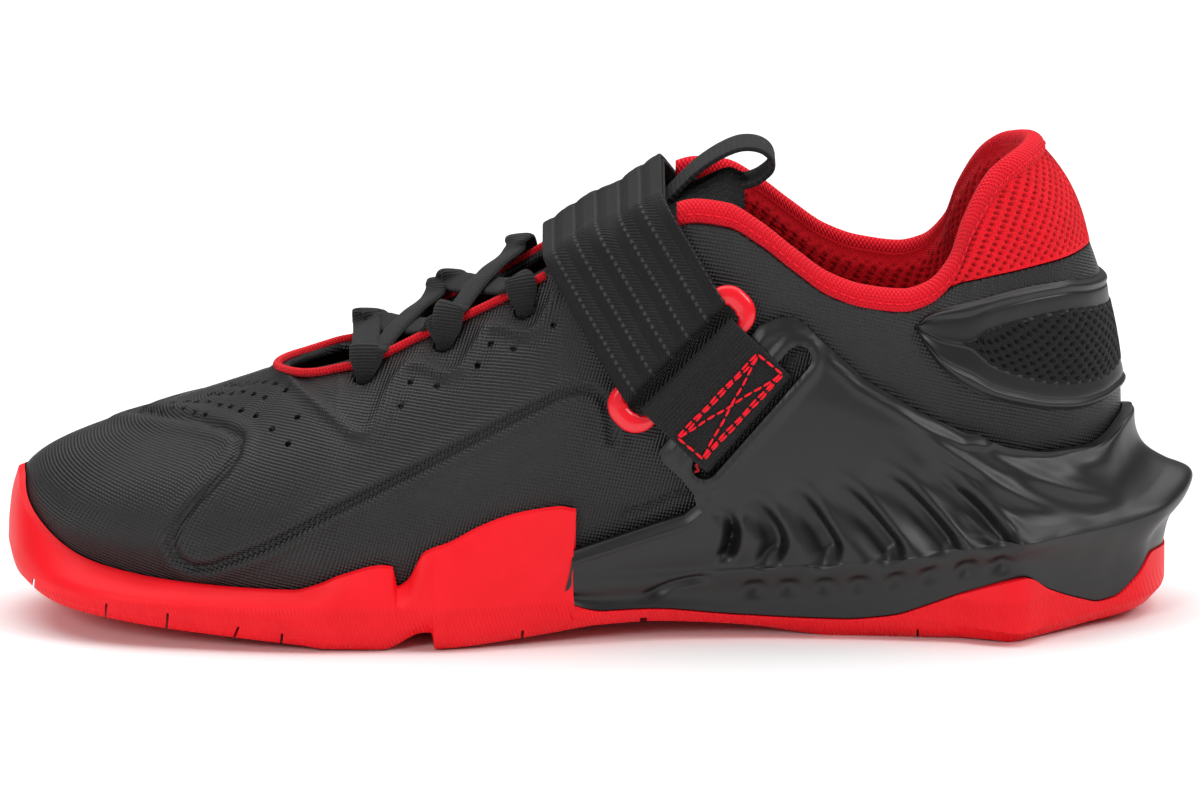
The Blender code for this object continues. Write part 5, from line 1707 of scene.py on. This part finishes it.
def make_ring():
    line = []
    half = RING_HALF - BAR_R
    for sa, sb, first in ((1, 1, 0), (-1, 1, 90), (-1, -1, 180), (1, -1, 270)):
        for k in range(9):
            angle = math.radians(first + 11.25 * k)
            line.append(on_ring(sa * (half - RING_CORNER) + RING_CORNER * math.cos(angle),
                                sb * (BAR_AT + 0.6 - RING_CORNER) + RING_CORNER * math.sin(angle), LIFT))
    line = np.array(line + line[:1])
    path = evenly(line, 161)[:-1]
    ends = ease((np.abs((path - AT) @ LONG) - 15.5) / 5.0)[:, None]
    angle = np.linspace(0, 2 * math.pi, 20, endpoint=False)
    step = unit(along(path, 0, True))
    across = unit(np.cross(step, NORMAL))
    points = (path[:, None] + across[:, None] * (np.cos(angle) * (BAR_R + 1.1 * ends) - 1.1 * ends)[..., None]
              + NORMAL * (np.sin(angle) * BAR_R)[None, :, None])
    return face_outward(grid_piece("strap_ring_plastic", points, closed_rows=True, closed_columns=True))


# Strap

# The strap's width rises to the rear at this angle.
LEAN = math.radians(33)


def hull(points):
    """The convex outline of points in a plane, anticlockwise."""
    points = sorted(set(points))

    def half(ordered):
        out = []
        for p in ordered:
            while len(out) > 1:
                ax, ay = out[-1][0] - out[-2][0], out[-1][1] - out[-2][1]
                bx, by = p[0] - out[-2][0], p[1] - out[-2][1]
                if ax * by - ay * bx > 0:
                    break
                out.pop()
            out.append(p)
        return out

    return half(points)[:-1] + half(points[::-1])[:-1]


def tilt(x, z):
    """Side-view place to the strap's own axes: along its width, and up its slices."""
    return x * math.cos(LEAN) + z * math.sin(LEAN), z * math.cos(LEAN) - x * math.sin(LEAN)


def untilt(s, v):
    """The strap's own axes back to a side-view place."""
    return s * math.cos(LEAN) - v * math.sin(LEAN), s * math.sin(LEAN) + v * math.cos(LEAN)


def slice_lines(slices):
    """What the strap lies on in each slice, from the inner side over the top to the outer side."""
    found = []
    for side in (INNER, OUTER):
        t = np.linspace(0.3, 1.0, 25)[None, :] + 0 * column(slices)
        low, high = np.full(t.shape, -66.0), np.full(t.shape, 74.0)
        for _ in range(26):
            station = (low + high) / 2
            r, z = wall(station, side, t)
            p = place(station, side, r, z)
            short = tilt(p[..., 0], p[..., 2])[0] < column(slices)
            low, high = np.where(short, station, low), np.where(short, high, station)
        station = (low + high) / 2
        out = np.where((t > 0.96) & (station < 4), 3.1, 0.6)
        p = place(station, side, *wall(station, side, t, out))
        found.append(np.stack([p[..., 1], tilt(p[..., 0], p[..., 2])[1]], axis=-1))
    lines = []
    for k in range(len(slices)):
        points = [tuple(np.round(p, 3)) for p in np.concatenate([found[0][k], found[1][k]])]
        ring = [p for p in hull(points) if p[1] > min(q[1] for q in points) + 2]
        ring.sort(key=lambda p: math.atan2(p[0], p[1] - 40))
        lines.append(np.array(ring))
    return lines


def flat_normals(line):
    """The normals of a line in a plane."""
    step = unit(np.gradient(line, axis=0))
    return np.stack([-step[:, 1], step[:, 0]], axis=-1)


# The strap's front and rear edges on its own axis, its thickness, and the spans of what a slice lies on.
STRAP_FIRST = 41.0
STRAP_LAST = 76.0
STRAP_THICK = 1.2
STRAP_COUNT = 18


def strap_slice(s, base):
    """Middle line of the strap in one slice: under layer, round the ring's bar, upper layer."""
    bar = on_ring(0.0, BAR_AT, LIFT)
    rate = tilt(LONG[0], LONG[2])[0]
    bar = bar + LONG * (s - tilt(bar[0], bar[2])[0]) / rate
    centre = (bar[1], tilt(bar[0], bar[2])[1])
    base = [p for p in base if p[0] > 0 or p[1] > centre[1] - 1]
    first = base[0]
    base = [(first[0], centre[1])] + [p for p in base if p[1] > centre[1] + 2 or p[0] > 0]
    base = np.array([p for p in base if p[0] < 0 or p[1] > 56.0])
    pick = evenly(base, STRAP_COUNT + 1)
    across = flat_normals(pick)
    low = GAP + STRAP_THICK / 2
    high = low + STRAP_THICK + GAP
    under_layer = pick + across * low
    over_layer = pick + across * high
    keep = (under_layer[:, 0] > 0) | (under_layer[:, 1] > centre[1] + 1.0)
    under_layer = under_layer[keep][::-1]
    round_bar = BAR_R + GAP + STRAP_THICK / 2
    angle = np.radians(np.linspace(0, 180, 13))
    loop = np.stack([centre[0] + round_bar * np.cos(angle), centre[1] - round_bar * np.sin(angle)], axis=-1)
    keep = (over_layer[:, 0] >= 0) | (over_layer[:, 1] >= centre[1] + 1.0)
    over_layer = over_layer[keep]
    lean = np.where(over_layer[:, 0] < 0, np.clip(1 - (over_layer[:, 1] - centre[1]) / 15, 0, None), 0.0)
    lean = ease(lean)
    pulled = mix(over_layer[:, 0], centre[0] - round_bar, lean)
    over_layer[:, 0] = np.where(over_layer[:, 0] < 0, np.minimum(over_layer[:, 0], pulled), over_layer[:, 0])
    parts = [through(under_layer, 90), evenly(loop, 26), through(over_layer, 110)]
    line = np.vstack(parts)
    for _ in range(3):
        line[1:-1] = (line[:-2] + 2 * line[1:-1] + line[2:]) / 4
    return line


def lines_between(wanted, rough, lines):
    """Lines at wanted places across from those at rough places, with their normals."""
    paths = np.empty((len(wanted),) + lines.shape[1:])
    for k in range(2):
        for i in range(lines.shape[1]):
            paths[:, i, k] = np.interp(wanted, rough, lines[:, i, k])
    return paths, np.stack([flat_normals(path) for path in paths])


def half_thick(thick, from_edge, rounding):
    """Half a tape's thickness at a distance from its rounded edge."""
    inward = np.clip(from_edge / rounding, 0, 1)
    return thick / 2 * np.sqrt(np.clip(1 - (1 - inward) ** 2, 0.04, 1))


def tape(name, top, bottom):
    """A flat band from its two faces, with a row of points for each place across it."""
    return band(name, np.swapaxes(np.concatenate([top, bottom[::-1]], axis=0), 0, 1))


def make_strap():
    edge = np.array([0.0, 0.08, 0.25, 0.55])
    inner = np.arange(1.0, STRAP_LAST - STRAP_FIRST - 0.9, 0.5)
    width = STRAP_LAST - STRAP_FIRST
    offsets = np.concatenate([edge, inner, width - edge[::-1]])
    slices = STRAP_FIRST + offsets
    rough = np.arange(STRAP_FIRST, STRAP_LAST + 0.1, 1.75)
    lines = np.array([strap_slice(s, base) for s, base in zip(rough, slice_lines(rough))])
    # Each path point is smoothed across the width too.
    for _ in range(2):
        lines[1:-1] = (lines[:-2] + 2 * lines[1:-1] + lines[2:]) / 4
    paths, out = lines_between(slices, rough, lines)
    half = half_thick(STRAP_THICK, np.minimum(offsets, width - offsets), 0.55)
    sewn = np.abs((offsets - STITCH_FIRST + STITCH_GAP / 2) % STITCH_GAP - STITCH_GAP / 2)
    sewn = np.where(offsets > STITCH_FIRST + 4.5 * STITCH_GAP, 9.0, sewn)
    press = 0.28 * bell(sewn, 1.3) - 0.12 * bell(sewn - 2.6, 1.6)
    faces_of = []
    for face in (1, -1):
        flat_points = paths + out * ((half - press) * face)[:, None, None]
        x, z = untilt(slices[:, None], flat_points[..., 1])
        faces_of.append(np.stack([x, flat_points[..., 0], z], axis=-1))
    return tape("strap_elastic", *faces_of)


# Webbing

# Half the webbing's width, its thickness, and its lift off the cloth.
WEB_HALF = 16.5
WEB_THICK = 1.4
WEB_LIFT = 0.6


def above_wall(a, b, out):
    """Height of the wall's offset surface over the ring's plane."""
    a, b = np.broadcast_arrays(np.asarray(a, float), np.asarray(b, float))
    n = np.zeros(a.shape)
    for _ in range(12):
        p = on_ring(a, b, n)
        y = wall_y(p[..., 0], p[..., 2], INNER, out).reshape(a.shape)
        n = n + (y - p[..., 1]) * NORMAL[1]
    return n


def web_sections(steps):
    """The webbing's middle line at each step across: round the ring's bar and into the slot."""
    turn = BAR_R + GAP + WEB_THICK / 2
    lines = []
    for a in steps:
        line = [(-6.9, LIFT - turn)]
        for angle in range(-90, 91, 15):
            c, q = math.cos(math.radians(angle)), math.sin(math.radians(angle))
            line.append((-BAR_AT + turn * c, LIFT + turn * q))
        slot = -25.1 + (a + 15.3) * 0.08
        stops = [(-9.5, -1.2), (-13.0, -0.3), (-16.5, 0.0), (slot + 3.2, 0.0), (slot + 1.2, 0.7),
                 (slot + 0.2, 2.0), (slot - 0.1, 3.2)]
        heights = above_wall([a] * len(stops), [b for b, _ in stops], GAP + SKIN)
        for (b, drop), n in zip(stops, heights):
            line.append((b, float(n) + WEB_LIFT + WEB_THICK / 2 - drop))
        lines.append(through(line, 110))
    return np.array(lines)


def make_webbing():
    rough = np.linspace(-WEB_HALF, WEB_HALF, 12)
    lines = web_sections(rough)
    edge = WEB_HALF - np.array([0.0, 0.08, 0.3, 0.6])
    middle = np.linspace(1.1 - WEB_HALF, WEB_HALF - 1.1, 42)
    steps = np.concatenate([-edge, middle, edge[::-1]])
    paths, out = lines_between(steps, rough, lines)
    half = half_thick(WEB_THICK, WEB_HALF - np.abs(steps), 0.6)
    run = lengths(paths, 1)
    ribs = 0.07 * np.cos(2 * math.pi * run / 1.05)
    faces_of = []
    for face in (1, -1):
        flat_points = paths + out * (half[:, None] + ribs)[..., None] * face
        faces_of.append(on_ring(steps[:, None] + 0 * run, flat_points[..., 0], flat_points[..., 1]))
    return tape("ring_webbing_tape", *faces_of)


def web_top(a, b):
    """Height of the webbing's face over the ring's plane."""
    drop = np.interp(-np.asarray(b), [9.5, 13.0, 16.5, 21.5, 23.7, 24.7], [-1.2, -0.3, 0.0, 0.0, 0.5, 1.4])
    return above_wall(a, b, GAP + SKIN) + WEB_LIFT + WEB_THICK - drop


# The red box and cross sewn on the webbing, on the ring's axes.
# from along, from across, to along, to across
SEWN = [
    (14.6, -12.6, -15.0, -13.2),
    (14.2, -13.3, -14.8, -13.9),
    (14.6, -12.6, 15.4, -21.2),
    (15.4, -21.2, -14.4, -22.3),
    (15.2, -20.5, -14.2, -21.6),
    (-15.0, -13.2, -14.4, -22.3),
    (14.4, -13.2, -14.2, -21.8),
    (15.0, -20.8, -14.8, -13.6),
]


def make_box_stitches():
    starts, ends, outs = [], [], []
    for k, (a1, b1, a2, b2) in enumerate(SEWN):
        f = np.linspace(0, 1, 40)
        # Hand-fed rows wander a little.
        a = mix(a1, a2, f)
        b = mix(b1, b2, f) + 0.12 * np.sin(f * 17 + 2.1 * k)
        line = on_ring(a, b, web_top(a, b) + 0.12)
        one, two, face = stitch_line(line, np.tile(NORMAL, (40, 1)), 2.9, 0.84)
        starts.append(one)
        ends.append(two)
        outs.append(face)
    return thread("webbing_stitches", np.vstack(starts), np.vstack(ends), np.vstack(outs), 0.33, 0.28)


def make_thread_tail():
    a = np.array([-14.6, -15.6, -16.8, -17.4, -18.4])
    b = np.array([-21.8, -22.4, -22.0, -23.4, -23.0])
    n = above_wall(a, b, GAP + SKIN) + np.array([1.6, 1.5, 1.3, 1.1, 0.9])
    path = through(on_ring(a, b, n), 30)
    return sweep("thread_tail", path, NORMAL, oval(0.3, 0.3, 8))


# Laces

# Half the lace's width, half its thickness, and its rise over the piping of each side.
LACE_HALF = 4.0
LACE_HALF_HIGH = 1.05
INNER_ARCH = 0.4
OUTER_ARCH = 1.8
# Outward from the top of the throat, which rises to the rear.
CROWN = np.array([-0.47, 0.0, 1.0])
# How far a crossing sags just inside the piping.
SAG = np.array([0.0, 0.0, -1.9])


def lace_stops(station, other, side, stack):
    """One end of a crossing, from inside the upper up over the piping, as places and ways out."""
    t = eyelet_t(station, side)
    toward = (other - station) * 0.07
    arch = OUTER_ARCH if side == OUTER else INNER_ARCH
    stops = [
        (0.0, t - 0.012, -2.2),
        (0.0, t, 0.6 + stack * 0.3),
        (toward * 0.3, mix(t, 1.0, 0.30), 2.0 + stack * 0.8),
        (toward * 0.6, mix(t, 1.0, 0.62), 3.2 + stack + arch * 0.6),
        (toward, 0.985, 3.9 + stack + arch),
        (toward * 1.5, 1.0, 3.2 + stack + arch),
    ]
    return [(over_wall(station + dx, side, t_at, out), out_of_wall(station, side, t_at))
            for dx, t_at, out in stops]


def lace_band(name, first, second, stack, middle):
    """One flat lace from an inner eyelet over both piping cords to an outer eyelet."""
    start = lace_stops(first, second, INNER, stack)
    last = lace_stops(second, first, OUTER, stack)
    low, high = start[-1][0], last[-1][0]
    inward = unit(high - low) * 3.2
    crown = unit(CROWN)
    stops = start + [(low + inward + SAG, crown)]
    for f in (0.36, 0.5, 0.64):
        stops.append((mix(low, high, f) + np.array([0.0, 0.0, middle]), crown))
    stops += [(high - inward + SAG, crown)] + last[::-1]
    joined = through([np.concatenate(stop) for stop in stops], 120)
    run = lengths(joined[:, None, :3], 0)
    from_end = np.minimum(run, run[-1] - run)
    # A lace folds together where it goes down into its eyelet.
    swell = mix(0.55, 1.0, ease((from_end - 1.5) / 6.5))
    return sweep(name, joined[:, :3], unit(joined[:, 3:]), oval(LACE_HALF, LACE_HALF_HIGH, 28, 0.7), swell)


# name, inner eyelet, outer eyelet, rise over the laces below, drop in the middle
LACES = [
    ("lace_front_bar", 0, 0, 0.9, -1.9),
    ("lace_front_over", 0, 1, 0.0, -0.9),
    ("lace_front_under", 1, 0, 0.0, -2.6),
    ("lace_rear_over", 1, 2, 1.2, -0.6),
    ("lace_rear_under", 2, 1, 0.6, -2.4),
]


def make_laces():
    return [lace_band(name, EYELETS[inner], EYELETS[outer], stack, middle)
            for name, inner, outer, stack, middle in LACES]


# Insole

INSOLE_THICK = 4.0


def make_insole():
    stations, sides = round_shoe(stops_between(TIP, BACK, 2.5, 2.5))
    foot_r = wall(stations, sides, np.zeros((len(stations), 1)))[0]
    low = column(platform(stations, 1.0) + GAP)
    edge_low = wall(stations, sides, np.zeros((len(stations), 1)), -WALL - 0.7)[0]
    edge_high = wall(stations, sides, wall_at(stations, sides, low + INSOLE_THICK), -WALL - 0.9)[0]
    share = edge_low / foot_r
    base = column(platform(stations, 0.0) + GAP)
    bottom = mix(base, low, share)
    rows = [(0 * base, base), (edge_low, bottom), (edge_high, bottom + INSOLE_THICK + 1.0)]
    for f in (0.93, 0.8, 0.55, 0.3):
        lip = 0.9 * max(0.0, (f - 0.8) / 0.2)
        rows.append((edge_high * f, mix(base, low, share * f) + INSOLE_THICK + lip))
    rows.append((0 * base, base + INSOLE_THICK))
    r = np.concatenate([p[0] for p in rows], axis=1)
    z = np.concatenate([p[1] for p in rows], axis=1)
    return face_outward(grid_piece("insole_cloth", place(stations, sides, r, z), closed_rows=True))


# Assembly

make_camera()
make_studio()
set_view()

cloth = coated_cloth()
moulding = satin_moulding()
rubber = red_rubber()
binding_knit = knit("binding_knit_red", "#f41028", "#cf0b1d", 1.1)
spacer_red = spacer("spacer_mesh_red", "#f80a20", "#c00718")
lining_red = spacer("lining_mesh_red", "#e8091f", "#980510")
tongue_knit = spacer("tongue_mesh_black", "#131112", "#060505")
window_knit = spacer("window_mesh_black", "#191718", "#060505")
cord_red = spacer("braided_cord_red", "#ee0c20", "#a00612")
thread_red = knit("sewing_thread_red", "#f2182c", "#c00d1e", 0.5)
thread_black = knit("sewing_thread_black", "#2a2728", "#141213", 0.5)
pull_tape = ribbed_tape("pull_tape_black", "#090808", "#151314", 1.6)
web_tape = ribbed_tape("webbing_black", "#080707", "#141213", 1.05)
lace_tape = ribbed_tape("lace_black", "#090808", "#171516", 0.8)

put(make_upper(cloth, lining_red), cloth, "black_cloth", "upper")
put(make_outsole(), rubber, "red_rubber", "outsole")
put(make_wedge(), moulding, "black_moulding", "midsole")
put(make_insole(), lining_red, "insole_cloth", "insole")
put(make_binding(), binding_knit, "red_knit", "collar_binding")
put(make_binding_stitches(), thread_red, "red_knit")
put(make_heel_pad(), spacer_red, "red_mesh", "heel_pad")
put(make_lining(), lining_red, "red_lining", "collar_lining")
put(make_tongue(), tongue_knit, "tongue_mesh", "tongue")
put(make_pull_loop(), pull_tape, "webbing", "tongue_pull_loop")
put(make_throat_cord(), cord_red, "red_cord", "throat_cord")
for part in make_heel_frame():
    put(part, moulding, "frame_moulding", "counter_frame")
put(make_window_mesh(), window_knit, "tongue_mesh")
put(make_ring(), gloss_plastic(), "red_plastic", "strap_ring")
put(make_strap(), strap_elastic(), "elastic", "midfoot_strap")
put(make_webbing(), web_tape, "webbing", "ring_webbing")
put(make_box_stitches(), thread_red, "red_knit")
put(make_thread_tail(), thread_red, "red_knit")
put(make_side_seam(), thread_black, "black_cloth")
for part in make_laces():
    put(part, lace_tape, "lace", "laces")
